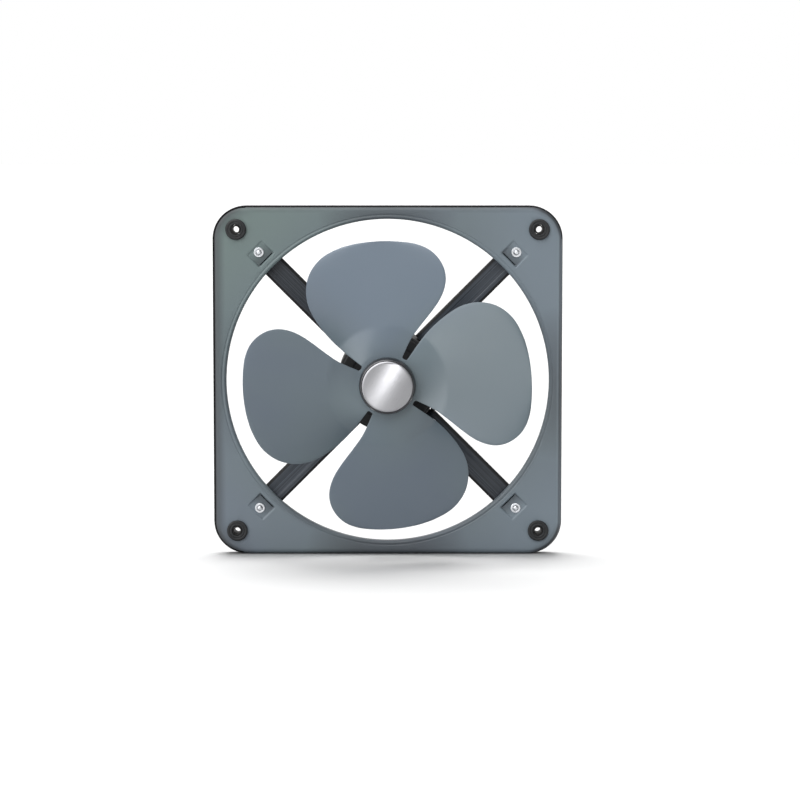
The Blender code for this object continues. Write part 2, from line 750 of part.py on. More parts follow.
def make_box_contents():
    """Capacitor, terminal block and leads inside the box, and the cable gland in its side."""
    top = BOX_Z[1] - BOX_WALL - GAP
    terminals = place("terminal_block", block("terminal_block", (-0.015, 0.0145, top - 0.010), (0.003, 0.0255, top)), "grey_plastic")
    way = cylinder("terminal_way", 0.0016, 0.005, 0.035, 8)
    for i in range(3):
        spot = Matrix.Translation((-0.0115 + 0.0055 * i, 0, top - 0.0055)) @ Matrix.Rotation(-pi / 2, 4, "X")
        boolean(terminals, helper(f"terminal_way_{i}", way, spot))
    capacitor = place("capacitor", block("capacitor", (-0.014, 0.0135, -0.0838), (0.012, 0.0335, -0.0718)), "black_plastic")
    bevel = capacitor.modifiers.new("edges", "BEVEL")
    bevel.width = 0.001
    bevel.segments = 1
    spot = (0, GLAND_Y, GLAND_Z)
    gland = [
        (0.0052, 0.0405),
        (0.0072, 0.0390),
        (0.0080, 0.0330),
        (0.0080, 0.0285),
        (0.0092, 0.0285),
        (0.0092, BOX_X + GAP),
        (0.0060, BOX_X + GAP),
        (0.0060, 0.0165),
        (0.0035, 0.0165),
        (0.0035, 0.0405),
    ]
    turned("cable_gland", gland, "black_plastic", FRAME, 14, location=spot, rotation=(0, pi / 2, 0))
    nut_high = BOX_X - BOX_WALL - GAP
    nut = cylinder("gland_nut", 0.0082, nut_high - 0.0035, nut_high, 6)
    nut = place("gland_nut", nut, "black_plastic", location=spot, rotation=(0, pi / 2, 0))
    nut_hole = cylinder("gland_nut_hole", 0.0063, 0.0, 0.0300, 16)
    boolean(nut, helper("gland_nut_hole", nut_hole, Matrix.Translation(spot) @ ALONG_X))
    curve = bpy.data.curves.new("motor_leads", "CURVE")
    curve.dimensions = "3D"
    curve.bevel_depth = 0.0020
    curve.bevel_resolution = 1
    curve.use_fill_caps = True
    spline = curve.splines.new("POLY")
    run = (LEAD_Y - 0.0270) / 2
    steps = 6
    bend = [Vector((0, LEAD_Y, -0.0386)), Vector((0, LEAD_Y, -0.0480))]
    for i in range(steps + 1):
        a = pi / 2 * i / steps
        bend.append(Vector((-0.004 * sin(a), LEAD_Y - run * (1 - cos(a)), -0.0580 - 0.0065 * sin(a))))
    bend.append(Vector((-0.0055, LEAD_Y - 2 * run + 0.0005, -0.0648)))
    spline.points.add(len(bend) - 1)
    for point, spot in zip(spline.points, bend):
        point.co = (*spot, 1)
    template = helper("motor_leads_path", curve)
    mesh = evaluated_mesh(template)
    bpy.data.objects.remove(template)
    bm = bmesh.new()
    bm.from_mesh(mesh)
    bmesh.ops.remove_doubles(bm, verts=bm.verts, dist=0.00001)
    bmesh.ops.recalc_face_normals(bm, faces=bm.faces)
    place("motor_leads", mesh_from(bm, "motor_leads"), "sleeving")


def make_earth_screw():
    seat = MOTOR_REAR_Y + GAP
    screw = [
        (0, seat + 0.0036),
        (0.0028, seat + 0.0034),
        (0.0044, seat + 0.0024),
        (0.0045, seat + 0.0010),
        (0.0055, seat + 0.0010),
        (0.0055, seat),
        (0.0025, seat),
        (0.0025, MOTOR_REAR_Y - 0.0022),
        (0, MOTOR_REAR_Y - 0.0022),
    ]
    turned("earth_screw", screw, "zinc_steel", FRAME, 10, False, on_circle(90, 0.032))


# ---- Impeller ----
def blade_height(radius, angle, share):
    """The sheet's middle plane: flat at the hub, then pitched so that the leading edge is nearer the room."""
    t = min(max((radius - PITCH_START_R) / (PITCH_FULL_R - PITCH_START_R), 0), 1)
    blend = t * t * (3 - 2 * t)
    across = -radius * sin(angle)
    bulge = 4 * CAMBER * share * (1 - share)
    return WHEEL_Y - blend * (PITCH_SLOPE * across + bulge)


def wheel_skin():
    """Hub disc and four blades as one open surface."""
    bm = bmesh.new()
    root = BLADE_OUTLINE[0]
    spread = [i / BLADE_COLUMNS for i in range(BLADE_COLUMNS + 1)]

    def point(axis, radius, trailing, leading, share):
        angle = radians(trailing + (leading - trailing) * share)
        y = blade_height(radius, angle, share)
        around = radians(axis) + angle
        return bm.verts.new((radius * cos(around), y, radius * sin(around)))

    disc_rows = []
    for radius in (SHAFT_R + GAP, 0.018, 0.0315):
        row = []
        for blade in range(BLADES):
            axis = 90 - blade * 360 / BLADES
            row += [point(axis, radius, root[1], root[2], share) for share in spread]
            gap_angle = (root[2] + root[1] - 360 / BLADES) / 2
            row.append(point(axis, radius - (0.0008 if radius > 0.03 else 0), gap_angle, gap_angle, 0))
        disc_rows.append(row)
    for near, far in zip(disc_rows, disc_rows[1:]):
        for i in range(len(near)):
            j = (i + 1) % len(near)
            bm.faces.new((near[i], near[j], far[j], far[i]))
    per_blade = BLADE_COLUMNS + 2
    for blade in range(BLADES):
        axis = 90 - blade * 360 / BLADES
        near = disc_rows[-1][blade * per_blade : blade * per_blade + BLADE_COLUMNS + 1]
        for radius, trailing, leading in BLADE_OUTLINE:
            far = [point(axis, radius, trailing, leading, share) for share in spread]
            for i in range(BLADE_COLUMNS):
                bm.faces.new((near[i], near[i + 1], far[i + 1], far[i]))
            near = far
    bmesh.ops.recalc_face_normals(bm, faces=bm.faces)
    return mesh_from(bm, "blade_wheel")


RIVET_R = 0.0185


def make_impeller():
    wheel = place("blade_wheel", wheel_skin(), "blade_grey", ROTOR)
    solidify = wheel.modifiers.new("sheet", "SOLIDIFY")
    solidify.thickness = SHEET
    solidify.offset = 0
    solidify.use_even_offset = True
    disc_front, disc_back = WHEEL_Y - SHEET / 2, WHEEL_Y + SHEET / 2
    flange_front = disc_back + GAP
    flange_back = flange_front + 0.0035
    bore = SHAFT_R + GAP
    hub_profile = [
        (0.0105, -0.0580),
        (0.0120, -0.0595),
        (0.0120, flange_back),
        (0.0240, flange_back),
        (0.0240, flange_front),
        (bore, flange_front),
        (bore, -0.0580),
    ]
    hub = turned("impeller_hub", hub_profile, "cast_aluminium", ROTOR, 20)
    hole = cylinder("rivet_hole", 0.0023, disc_front - 0.005, flange_back + 0.005, 10)
    rivet = [
        (0, flange_back + GAP + 0.0016),
        (0.0024, flange_back + GAP + 0.0014),
        (0.0034, flange_back + GAP),
        (0.0020, flange_back + GAP),
        (0.0020, disc_front - GAP),
        (0.0034, disc_front - GAP),
        (0.0024, disc_front - GAP - 0.0014),
        (0, disc_front - GAP - 0.0016),
    ]
    for i in range(4):
        angle = 90 * i + 45
        boolean(wheel, helper(f"wheel_rivet_hole_{i}", hole, axial(angle, RIVET_R)))
        boolean(hub, helper(f"hub_rivet_hole_{i}", hole, axial(angle, RIVET_R)))
        turned(f"hub_rivet_{i + 1}", rivet, "dark_steel", ROTOR, 10, False, on_circle(angle, RIVET_R))
    screw_y = -0.0680
    screw_hole = cylinder("set_screw_hole", 0.0028, 0.0, 0.0200, 12)
    boolean(hub, helper("set_screw_hole", screw_hole, Matrix.Translation((0, screw_y, 0))))
    set_screw = cylinder("set_screw", 0.0025, SHAFT_R + GAP, 0.0118, 12)
    set_screw = place("hub_set_screw", set_screw, "dark_steel", ROTOR, (0, screw_y, 0))
    socket = cylinder("hex_socket", 0.0014, 0.0090, 0.0200, 6)
    boolean(set_screw, helper("hex_socket", socket, Matrix.Translation((0, screw_y, 0))))
    washer_back = disc_front - GAP
    washer_front = washer_back - 0.0015
    turned("shaft_washer", ring(bore, 0.0105, washer_front, washer_back), "zinc_steel", ROTOR, 20)
    nut_back = washer_front - GAP
    nut_front = nut_back - 0.0050
    nut = place("shaft_nut", cylinder("shaft_nut", 0.0092, nut_front, nut_back, 6), "zinc_steel", ROTOR, rotation=ALONG_Y)
    nut_hole = cylinder("shaft_nut_hole", bore, nut_front - 0.01, nut_back + 0.01, 20)
    boolean(nut, helper("shaft_nut_hole", nut_hole, Matrix.Rotation(-pi / 2, 4, "X")))
    make_cap(disc_front - GAP, bore, nut_front - 0.0018)


def make_cap(rim_y, bore, boss_y):
    """Polished cap over the shaft's end, screwed onto it by the boss inside."""
    wall, front = 0.0012, CAP_FRONT_Y
    boss_r = 0.0080
    inside = [
        (0, SHAFT_Y[0] - GAP),
        (bore, SHAFT_Y[0] - GAP),
        (bore, boss_y),
        (boss_r, boss_y),
        (boss_r, front + 0.0016),
        (0.0245, front + 0.0020),
        (CAP_R - 0.0032, front + 0.0036),
        (CAP_R - 0.0021, front + 0.0068),
        (CAP_R - wall, front + 0.0120),
        (CAP_R - wall, rim_y),
    ]
    outside = [
        (CAP_R, rim_y),
        (CAP_R, front + 0.0120),
        (CAP_R - 0.0006, front + 0.0070),
        (CAP_R - 0.0018, front + 0.0034),
        (CAP_R - 0.0034, front + 0.0014),
        (CAP_R - 0.0060, front + 0.0005),
        (0, front),
    ]
    turned("hub_cap", inside + outside, "chrome", ROTOR, 28, False)


make_panel()
make_bushes()
make_arms()
make_arm_screws()
make_front_shield()
make_housing()
make_rear_shield()
make_through_bolts()
make_stator()
make_rotor()
make_bearing("front", FRONT_BEARING_Y, FRONT_CAGE)
make_bearing("rear", REAR_BEARING_Y, REAR_CAGE)
make_wave_washer()
make_terminal_box()
make_box_contents()
make_earth_screw()
make_impeller()
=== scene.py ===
import json
from math import atan2, cos, pi, radians, sin, tan

import bmesh
import bpy
import numpy as np
from mathutils import Matrix, Vector


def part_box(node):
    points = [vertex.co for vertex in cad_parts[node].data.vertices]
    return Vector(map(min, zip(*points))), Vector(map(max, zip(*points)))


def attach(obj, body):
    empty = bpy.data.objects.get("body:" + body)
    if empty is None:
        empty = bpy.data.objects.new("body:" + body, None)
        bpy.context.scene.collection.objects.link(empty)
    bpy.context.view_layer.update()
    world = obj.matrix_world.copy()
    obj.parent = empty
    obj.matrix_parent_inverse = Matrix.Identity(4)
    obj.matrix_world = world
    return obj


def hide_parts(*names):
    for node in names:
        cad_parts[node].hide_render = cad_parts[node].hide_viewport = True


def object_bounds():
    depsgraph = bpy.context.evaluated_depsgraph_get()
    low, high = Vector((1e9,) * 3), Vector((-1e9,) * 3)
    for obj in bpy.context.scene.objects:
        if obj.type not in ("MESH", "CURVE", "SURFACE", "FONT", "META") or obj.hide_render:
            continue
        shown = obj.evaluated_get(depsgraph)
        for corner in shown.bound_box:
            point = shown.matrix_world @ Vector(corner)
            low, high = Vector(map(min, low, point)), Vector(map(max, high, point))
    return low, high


# ---- Camera ----
AIM = Vector((0.0131, -0.022, -0.0205))
CAMERA_DISTANCE = 2.9
CAMERA_ELEVATION = radians(5.3)

camera = bpy.data.objects.new("camera", bpy.data.cameras.new("camera"))
bpy.context.scene.collection.objects.link(camera)
camera.data.lens = 123.1
camera.data.sensor_width = 36.0
back = Vector((0, -cos(CAMERA_ELEVATION), sin(CAMERA_ELEVATION)))
camera.location = AIM + back * CAMERA_DISTANCE
camera.rotation_mode = "QUATERNION"
camera.rotation_quaternion = (-back).to_track_quat("-Z", "Y")
bpy.context.scene.camera = camera

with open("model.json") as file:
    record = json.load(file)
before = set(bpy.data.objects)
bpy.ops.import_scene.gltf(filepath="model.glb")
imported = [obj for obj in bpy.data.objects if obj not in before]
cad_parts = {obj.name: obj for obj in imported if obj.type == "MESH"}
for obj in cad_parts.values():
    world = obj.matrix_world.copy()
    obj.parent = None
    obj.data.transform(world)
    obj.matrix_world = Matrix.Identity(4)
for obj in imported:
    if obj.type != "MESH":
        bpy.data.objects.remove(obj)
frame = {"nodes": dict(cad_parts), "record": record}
cad_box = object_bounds()

# ---- Sizes, as the CAD model has them ----
FRONT_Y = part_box("frame_panel")[0].y
PANEL_RIM_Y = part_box("frame_panel")[1].y
PANEL_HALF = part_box("frame_panel")[1].x
PANEL_CORNER_R = 0.035
SHEET = 0.0012
INLET_R = 0.171
BUSH_AT = 0.160
BUSH_R = 0.011
PAD_INNER_R, PAD_OUTER_R, PAD_HALF = 0.1805, 0.1990, 0.0112
PAD_SCREW_R = 0.1923
ARM_Y = -0.011
ARM_HALF = 0.01225
ARM_SHEET = 0.0018
ARM_FLANGE = 0.008
ARM_INNER_R = 0.0542
ARM_OUTER_R = 0.2005
TONGUE_Y = -0.0185
LUG_SCREW_R = 0.066
MOTOR_R = 0.053
WHEEL_Y = -0.082
TIP_R = 0.150
BORE_R = 0.0053
CAP_R = 0.0295
CAP_FRONT_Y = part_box("hub_cap")[0].y
SEGMENTS = 96

CORNERS = {"top_right": 45, "top_left": 135, "bottom_left": 225, "bottom_right": 315}


# ---- Small tools ----
def smooth(t):
    t = min(max(t, 0.0), 1.0)
    return t * t * (3 - 2 * t)


def mix(a, b, t):
    return a + (b - a) * t


def ramp(x, low, high):
    return smooth((x - low) / (high - low))


def on_circle(angle, radius, y=0.0):
    a = radians(angle)
    return Vector((radius * cos(a), y, radius * sin(a)))


def spoke(angle):
    """Turns local X to point at an angle from +X towards +Z about the shaft."""
    return Matrix.Rotation(radians(-angle), 4, "Y")


def fillet(points, radius, steps=5, closed=False):
    """A polyline with its corners rounded. radius is one number, or a dict of index to radius."""
    count = len(points)
    out = []
    for i, p in enumerate(points):
        r = radius.get(i, 0.0) if isinstance(radius, dict) else radius
        if r <= 0 or (not closed and i in (0, count - 1)):
            out.append(tuple(p))
            continue
        here = np.array(p, float)
        before = np.array(points[(i - 1) % count], float) - here
        after = np.array(points[(i + 1) % count], float) - here
        lb, la = np.linalg.norm(before), np.linalg.norm(after)
        before, after = before / lb, after / la
        angle = np.arccos(np.clip(before @ after, -1, 1))
        if angle > pi - 0.05 or angle < 0.05:
            out.append(tuple(p))
            continue
        cut = min(r / tan(angle / 2), 0.45 * lb, 0.45 * la)
        start, end = here + before * cut, here + after * cut
        for k in range(steps + 1):
            t = k / steps
            q = (1 - t) ** 2 * start + 2 * t * (1 - t) * here + t * t * end
            out.append(tuple(q))
    return out


def corner_spot(angle):
    """The middle of the bush in the corner that the angle points at."""
    x, z = (BUSH_AT if f(radians(angle)) > 0 else -BUSH_AT for f in (cos, sin))
    return Vector((x, 0, z))


def mesh_object(name, bm, materials):
    """Puts a bmesh in the scene as a smooth-shaded object."""
    mesh = bpy.data.meshes.new(name)
    bm.to_mesh(mesh)
    bm.free()
    mesh.shade_smooth()
    obj = bpy.data.objects.new(name, mesh)
    bpy.context.scene.collection.objects.link(obj)
    for material in materials:
        mesh.materials.append(material)
    return obj


def finish_mesh(name, bm, material, body, replaces=(), sharp=35):
    """Makes a piece from a bmesh, rides it on its body and gives it its material."""
    bmesh.ops.recalc_face_normals(bm, faces=bm.faces)
    obj = mesh_object(name, bm, [material])
    obj.data.set_sharp_from_angle(angle=radians(sharp))
    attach(obj, body)
    if replaces:
        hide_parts(*replaces)
    return obj


def add_loft(bm, rows, closed_rows=True):
    """Quads through rows of points. Returns the rows of vertices."""
    made = []
    for row in rows:
        made.append([bm.verts.new(p) for p in row])
    for near, far in zip(made, made[1:]):
        n = len(near)
        for i in range(n if closed_rows else n - 1):
            j = (i + 1) % n
            quad = []
            for v in (near[i], near[j], far[j], far[i]):
                if v not in quad:
                    quad.append(v)
            bm.faces.new(quad)
    return made


def add_lathe(bm, profile, segments=SEGMENTS, closed=True, centre=(0, 0)):
    """A profile of (radius, y) spun about the Y axis through centre (x, z)."""
    cx, cz = centre
    rings = []
    for r, y in profile:
        if r < 1e-7:
            rings.append([bm.verts.new((cx, y, cz))])
            continue
        turns = [2 * pi * k / segments for k in range(segments)]
        rings.append([bm.verts.new((cx + r * cos(a), y, cz + r * sin(a))) for a in turns])
    pairs = list(zip(rings, rings[1:]))
    if closed:
        pairs.append((rings[-1], rings[0]))
    for near, far in pairs:
        if len(near) == 1 and len(far) == 1:
            continue
        for k in range(segments):
            j = (k + 1) % segments
            if len(near) == 1:
                bm.faces.new((near[0], far[j], far[k]))
            elif len(far) == 1:
                bm.faces.new((near[k], near[j], far[0]))
            else:
                bm.faces.new((near[k], near[j], far[j], far[k]))


def lathe(name, profile, material, body, replaces=(), segments=SEGMENTS, closed=True, centre=(0, 0)):
    bm = bmesh.new()
    add_lathe(bm, profile, segments, closed, centre)
    return finish_mesh(name, bm, material, body, replaces)


def add_rounded_box(bm, low, high, radius, segments=3, matrix=None):
    """A box with rounded edges."""
    low, high = Vector(low), Vector(high)
    size = Matrix.Diagonal((*(high - low), 1))
    made = bmesh.ops.create_cube(bm, size=1, matrix=Matrix.Translation((low + high) / 2) @ size)
    verts = made["verts"]
    edges = list({e for v in verts for e in v.link_edges})
    res = bmesh.ops.bevel(bm, geom=edges, offset=radius, segments=segments, affect="EDGES", profile=0.5)
    if matrix is not None:
        touched = {v for f in res["faces"] for v in f.verts} | {v for v in verts if v.is_valid}
        bmesh.ops.transform(bm, matrix=matrix, verts=list(touched))


def add_prism(bm, sides, radius, low, high, centre=(0, 0), chamfer=0.0):
    """A regular prism along Y, chamfered on its -Y end, as on a nut or a hex head."""
    cx, cz = centre
    inner = radius - chamfer
    count = sides * 8
    flat = radius * cos(pi / sides)
    rows = []
    for y, limit in ((high, 9.0), (low + chamfer * 0.6, 9.0), (low, flat * 0.985)):
        row = []
        for k in range(count):
            a = 2 * pi * k / count
            wedge = (a + pi / sides) % (2 * pi / sides) - pi / sides
            # distance to the flat whose middle is half a side further on
            d = flat / cos(abs(wedge) - pi / sides) if abs(wedge) <= pi / sides else flat
            d = min(d, limit)
            row.append(Vector((cx + d * cos(a), y, cz + d * sin(a))))
        rows.append(row)
    made = add_loft(bm, rows)
    bm.faces.new(made[0])
    bm.faces.new(list(reversed(made[-1])))


# ---- Materials ----
class Nodes:
    """A material's node tree, with shorthand for its nodes."""

    def __init__(self, name):
        self.material = bpy.data.materials.new(name)
        self.material.use_nodes = True
        self.tree = self.material.node_tree
        self.shader = self.tree.nodes["Principled BSDF"]

    def add(self, kind, **settings):
        node = self.tree.nodes.new(kind)
        for key, value in settings.items():
            setattr(node, key, value)
        return node

    def link(self, out, into):
        self.tree.links.new(out, into)

    def coords(self, scale=(1, 1, 1)):
        where = self.add("ShaderNodeTexCoord")
        mapping = self.add("ShaderNodeMapping")
        mapping.inputs["Scale"].default_value = scale
        self.link(where.outputs["Object"], mapping.inputs["Vector"])
        return mapping.outputs["Vector"]

    def noise(self, scale, detail=3.0, roughness=0.5, stretch=(1, 1, 1)):
        node = self.add("ShaderNodeTexNoise")
        node.inputs["Scale"].default_value = scale
        node.inputs["Detail"].default_value = detail
        node.inputs["Roughness"].default_value = roughness
        self.link(self.coords(stretch), node.inputs["Vector"])
        return node.outputs["Fac"]

    def remap(self, value, low, high, to_low, to_high):
        node = self.add("ShaderNodeMapRange")
        node.clamp = True
        self.link(value, node.inputs["Value"])
        node.inputs["From Min"].default_value = low
        node.inputs["From Max"].default_value = high
        node.inputs["To Min"].default_value = to_low
        node.inputs["To Max"].default_value = to_high
        return node.outputs["Result"]

    def blend(self, factor, a, b):
        node = self.add("ShaderNodeMix", data_type="RGBA")
        self.link(factor, node.inputs["Factor"])
        for value, socket in ((a, node.inputs[6]), (b, node.inputs[7])):
            if isinstance(value, tuple):
                socket.default_value = (*value, 1.0)
            else:
                self.link(value, socket)
        return node.outputs[2]

    def math(self, kind, a, b):
        node = self.add("ShaderNodeMath", operation=kind)
        for value, socket in ((a, node.inputs[0]), (b, node.inputs[1])):
            if isinstance(value, (int, float)):
                socket.default_value = value
            else:
                self.link(value, socket)
        return node.outputs[0]

    def vector(self, kind, a, b=(0, 0, 0)):
        node = self.add("ShaderNodeVectorMath", operation=kind)
        self.link(a, node.inputs[0])
        node.inputs[1].default_value = b
        return node.outputs["Value" if kind == "LENGTH" else "Vector"]

    def absolute(self, value):
        return self.math("ABSOLUTE", value, 0.0)

    def axes(self, vector):
        """The vector's X, Y and Z."""
        node = self.add("ShaderNodeSeparateXYZ")
        self.link(vector, node.inputs[0])
        return tuple(node.outputs)

    def base(self):
        """What the base colour is linked to so far."""
        return self.shader.inputs["Base Color"].links[0].from_socket

    def specular(self, level):
        self.shader.inputs["Specular IOR Level"].default_value = level

    def attribute(self, name):
        node = self.add("ShaderNodeAttribute")
        node.attribute_name = name
        return node.outputs["Fac"]

    def bump(self, height, distance, strength=1.0):
        node = self.add("ShaderNodeBump")
        node.inputs["Strength"].default_value = strength
        node.inputs["Distance"].default_value = distance
        self.link(height, node.inputs["Height"])
        if self.shader.inputs["Normal"].is_linked:
            self.link(self.shader.inputs["Normal"].links[0].from_socket, node.inputs["Normal"])
        self.link(node.outputs["Normal"], self.shader.inputs["Normal"])

    def colour(self, socket):
        self.link(socket, self.shader.inputs["Base Color"])

    def rough(self, socket):
        self.link(socket, self.shader.inputs["Roughness"])


def enamel(name, one, two, rough=(0.32, 0.42), peel=0.00002):
    """Sprayed enamel: two close tints in soft clouds, a faint orange peel and uneven gloss."""
    m = Nodes(name)
    clouds = m.noise(7.0, 2.0, 0.45)
    m.colour(m.blend(m.remap(clouds, 0.38, 0.62, 1.0, 0.0), one, two))
    m.rough(m.remap(m.noise(38.0, 4.0, 0.6), 0.3, 0.7, rough[0], rough[1]))
    m.bump(m.noise(900.0, 2.0, 0.5), peel)
    return m


def bare_metal(name, colour, rough, stretch=(1, 1, 1), grain=260.0, depth=0.000008, dark=0.82):
    """Bare or plated metal with fine machining marks and dull patches."""
    m = Nodes(name)
    wear_and_shade = tuple(c * dark for c in colour)
    m.colour(m.blend(m.remap(m.noise(60.0, 4.0, 0.6), 0.35, 0.7, 0.0, 1.0), colour, wear_and_shade))
    m.rough(m.remap(m.noise(grain, 3.0, 0.6, stretch), 0.3, 0.7, rough[0], rough[1]))
    m.bump(m.noise(grain * 3, 2.0, 0.5, stretch), depth)
    m.shader.inputs["Metallic"].default_value = 1.0
    return m


PANEL_LIGHT, PANEL_DARK = (0.110, 0.136, 0.149), (0.109, 0.132, 0.157)
# The second tint on the next line is painted light, for the panel's brighter right corners; the first is a
# greener tone.
PANEL_GREENER, PANEL_PAINTED_LIGHT = (0.108, 0.143, 0.138), (0.121, 0.149, 0.173)
# Painted shade tints: the first for the folds, the inlet's lip and the strips beside it, the second near
# black for the very edge, the third for the pads' recesses.
SHADE_TINT, EDGE_SHADE_BLACK, RECESS_SHADE = (0.040, 0.043, 0.048), (0.003, 0.003, 0.004), (0.030, 0.034, 0.040)
BLADE_LIGHT, BLADE_DARK = (0.094, 0.121, 0.136), (0.087, 0.110, 0.137)
# Painted light for the blades: a bluer cast for the upper one, darker and greyer painted shade for the right
# one.
BLADE_PAINTED_COOL_LIGHT, BLADE_PAINTED_SHADE = (0.0860, 0.1135, 0.1460), (0.0855, 0.1090, 0.1230)
# Painted highlight and painted shade lines along the right fold: how far in, half width, strength and tint
FOLD_HIGHLIGHT_AND_SHADE = (
    (0.0050, 0.0014, 0.40, (0.150, 0.182, 0.205)),
    (0.0029, 0.0014, 0.75, (0.040, 0.044, 0.050)),
)


def panel_paint():
    """The panel's enamel, with all its changes placed in the panel's own coordinates.

    Painted light brightens the right corners. Painted shade darkens the left fold, less so the top fold,
    round the bends of the corners and on the lower right of the inlet's lip, paints the very edge black
    and darkens the pads where they and their slots are pressed in. Lines of painted highlight and painted
    shade run along the right fold, and the narrow strips beside the inlet are darker.
    """
    m = enamel("panel_enamel", PANEL_LIGHT, PANEL_DARK, (0.36, 0.48))
    where = m.coords()
    x, _, z = m.axes(where)
    _, _, height = m.axes(m.vector("ABSOLUTE", where))

    # How far in from the outline a point is, and how far out from the inlet
    straight = PANEL_HALF - PANEL_CORNER_R
    past = m.vector("MAXIMUM", m.vector("SUBTRACT", m.vector("ABSOLUTE", where), (straight, 1, straight)))
    inset = m.math("SUBTRACT", PANEL_CORNER_R, m.vector("LENGTH", past))
    beyond = m.math("SUBTRACT", m.vector("LENGTH", m.vector("MULTIPLY", where, (1, 0, 1))), INLET_R)

    # Tints: greener to the upper left, and the right corners painted brighter as painted light
    colour = m.blend(m.remap(m.math("SUBTRACT", z, x), 0.12, 0.32, 0.0, 1.0), m.base(), PANEL_GREENER)
    painted_light = m.remap(m.absolute(m.math("ADD", z, 0.06)), 0.030, 0.080, 0.0, 1.0)
    painted_light = m.math("MULTIPLY", painted_light, m.remap(x, 0.085, 0.150, 0.0, 1.0))
    colour = m.blend(painted_light, colour, PANEL_PAINTED_LIGHT)

    # Painted shade on the left fold, less on the top fold, round the corners' bends and on the lower right
    # of the inlet's lip; the narrow strips beside the inlet are darker too
    left = m.remap(x, -0.168, -0.140, 1.0, 0.0)
    right = m.remap(x, 0.140, 0.168, 0.0, 1.0)
    top = m.remap(z, 0.140, 0.168, 0.0, 1.0)
    gap = m.math("ADD", m.math("ADD", inset, beyond), m.math("MULTIPLY", z, 0.015))
    strip = m.remap(gap, 0.0140, 0.0320, 0.55, 0.0)
    strip = m.math("MULTIPLY", strip, m.math("SUBTRACT", 1.0, m.math("MULTIPLY", left, 0.65)))
    strip = m.math("MULTIPLY", strip, m.remap(height, 0.140, 0.165, 1.0, 1.25))
    low = m.remap(m.math("SUBTRACT", m.math("MULTIPLY", x, 0.7), z), -0.025, 0.060, 0.0, 1.0)
    on_lip = m.math("MULTIPLY", low, m.remap(beyond, 0.0010, 0.0075, 0.52, 0.0))
    on_left = m.math("MULTIPLY", left, m.remap(inset, 0.0028, 0.0135, 0.86, 0.0))
    on_top = m.math("MULTIPLY", top, m.remap(inset, 0.0018, 0.0080, 0.50, 0.0))
    past_x, _, past_z = m.axes(past)
    bend = m.remap(m.math("MINIMUM", past_x, past_z), 0.001, 0.012, 0.0, 1.0)
    on_bend = m.math("MULTIPLY", bend, m.remap(inset, 0.0012, 0.0085, 0.72, 0.0))
    shade_amount = m.math("MAXIMUM", m.math("MAXIMUM", on_left, on_top), m.math("MAXIMUM", strip, on_bend))
    colour = m.blend(m.math("MAXIMUM", shade_amount, on_lip), colour, SHADE_TINT)
    # A painted highlight line and a painted shade line along the right fold.
    for middle, reach, amount, tint in FOLD_HIGHLIGHT_AND_SHADE:
        line = m.remap(m.absolute(m.math("SUBTRACT", inset, middle)), 0.0, reach, amount, 0.0)
        colour = m.blend(m.math("MULTIPLY", right, line), colour, tint)

    # Painted shade: the very edge painted near black, strongly on the left, top and right, partly round the
    # bends and faintly elsewhere
    edge_shade = m.math("MULTIPLY", left, m.remap(inset, 0.0020, 0.0034, 1.0, 0.0))
    edge_shade = m.math("MAXIMUM", edge_shade, m.math("MULTIPLY", top, m.remap(inset, 0.0014, 0.0030, 1.0, 0.0)))
    wear_and_shade = m.remap(x, 0.140, 0.168, 0.12, 0.90)
    edge_shade = m.math("MAXIMUM", edge_shade, m.math("MULTIPLY", wear_and_shade, m.remap(inset, 0.0004, 0.0018, 1.0, 0.0)))
    edge_shade = m.math("MAXIMUM", edge_shade, m.math("MULTIPLY", bend, m.remap(inset, 0.0018, 0.0066, 0.55, 0.0)))
    colour = m.blend(edge_shade, colour, EDGE_SHADE_BLACK)
    # Painted shade in the pads' recesses, darker where they are pressed in deeper.
    m.colour(m.blend(m.remap(m.attribute("sink"), 0.0010, 0.0024, 0.0, 0.60), colour, RECESS_SHADE))
    m.specular(0.35)
    return m.material


def rim_shade_paint():
    """Dull black on the panel's outer edge and side walls: painted shade."""
    m = enamel("rim_painted_shade", (0.0035, 0.0035, 0.0045), (0.0060, 0.0060, 0.0070), (0.75, 0.90))
    m.specular(0.05)
    return m.material


def blade_paint():
    """The wheel's enamel, with painted light: a bluer cast painted on the upper blade and painted shade,
    darker and greyer, on the right one.
    """
    m = enamel("blade_enamel", BLADE_LIGHT, BLADE_DARK, (0.30, 0.40))
    where = m.coords()
    x, _, z = m.axes(where)
    width, _, height = m.axes(m.vector("ABSOLUTE", where))
    upper = m.remap(m.math("SUBTRACT", z, width), 0.0, 0.05, 0.0, 0.80)
    right = m.remap(m.math("SUBTRACT", x, height), 0.0, 0.05, 0.0, 0.85)
    # Painted light: the upper blade bluer, the right one darker and greyer.
    m.colour(m.blend(right, m.blend(upper, m.base(), BLADE_PAINTED_COOL_LIGHT), BLADE_PAINTED_SHADE))
    m.specular(0.45)
    return m.material


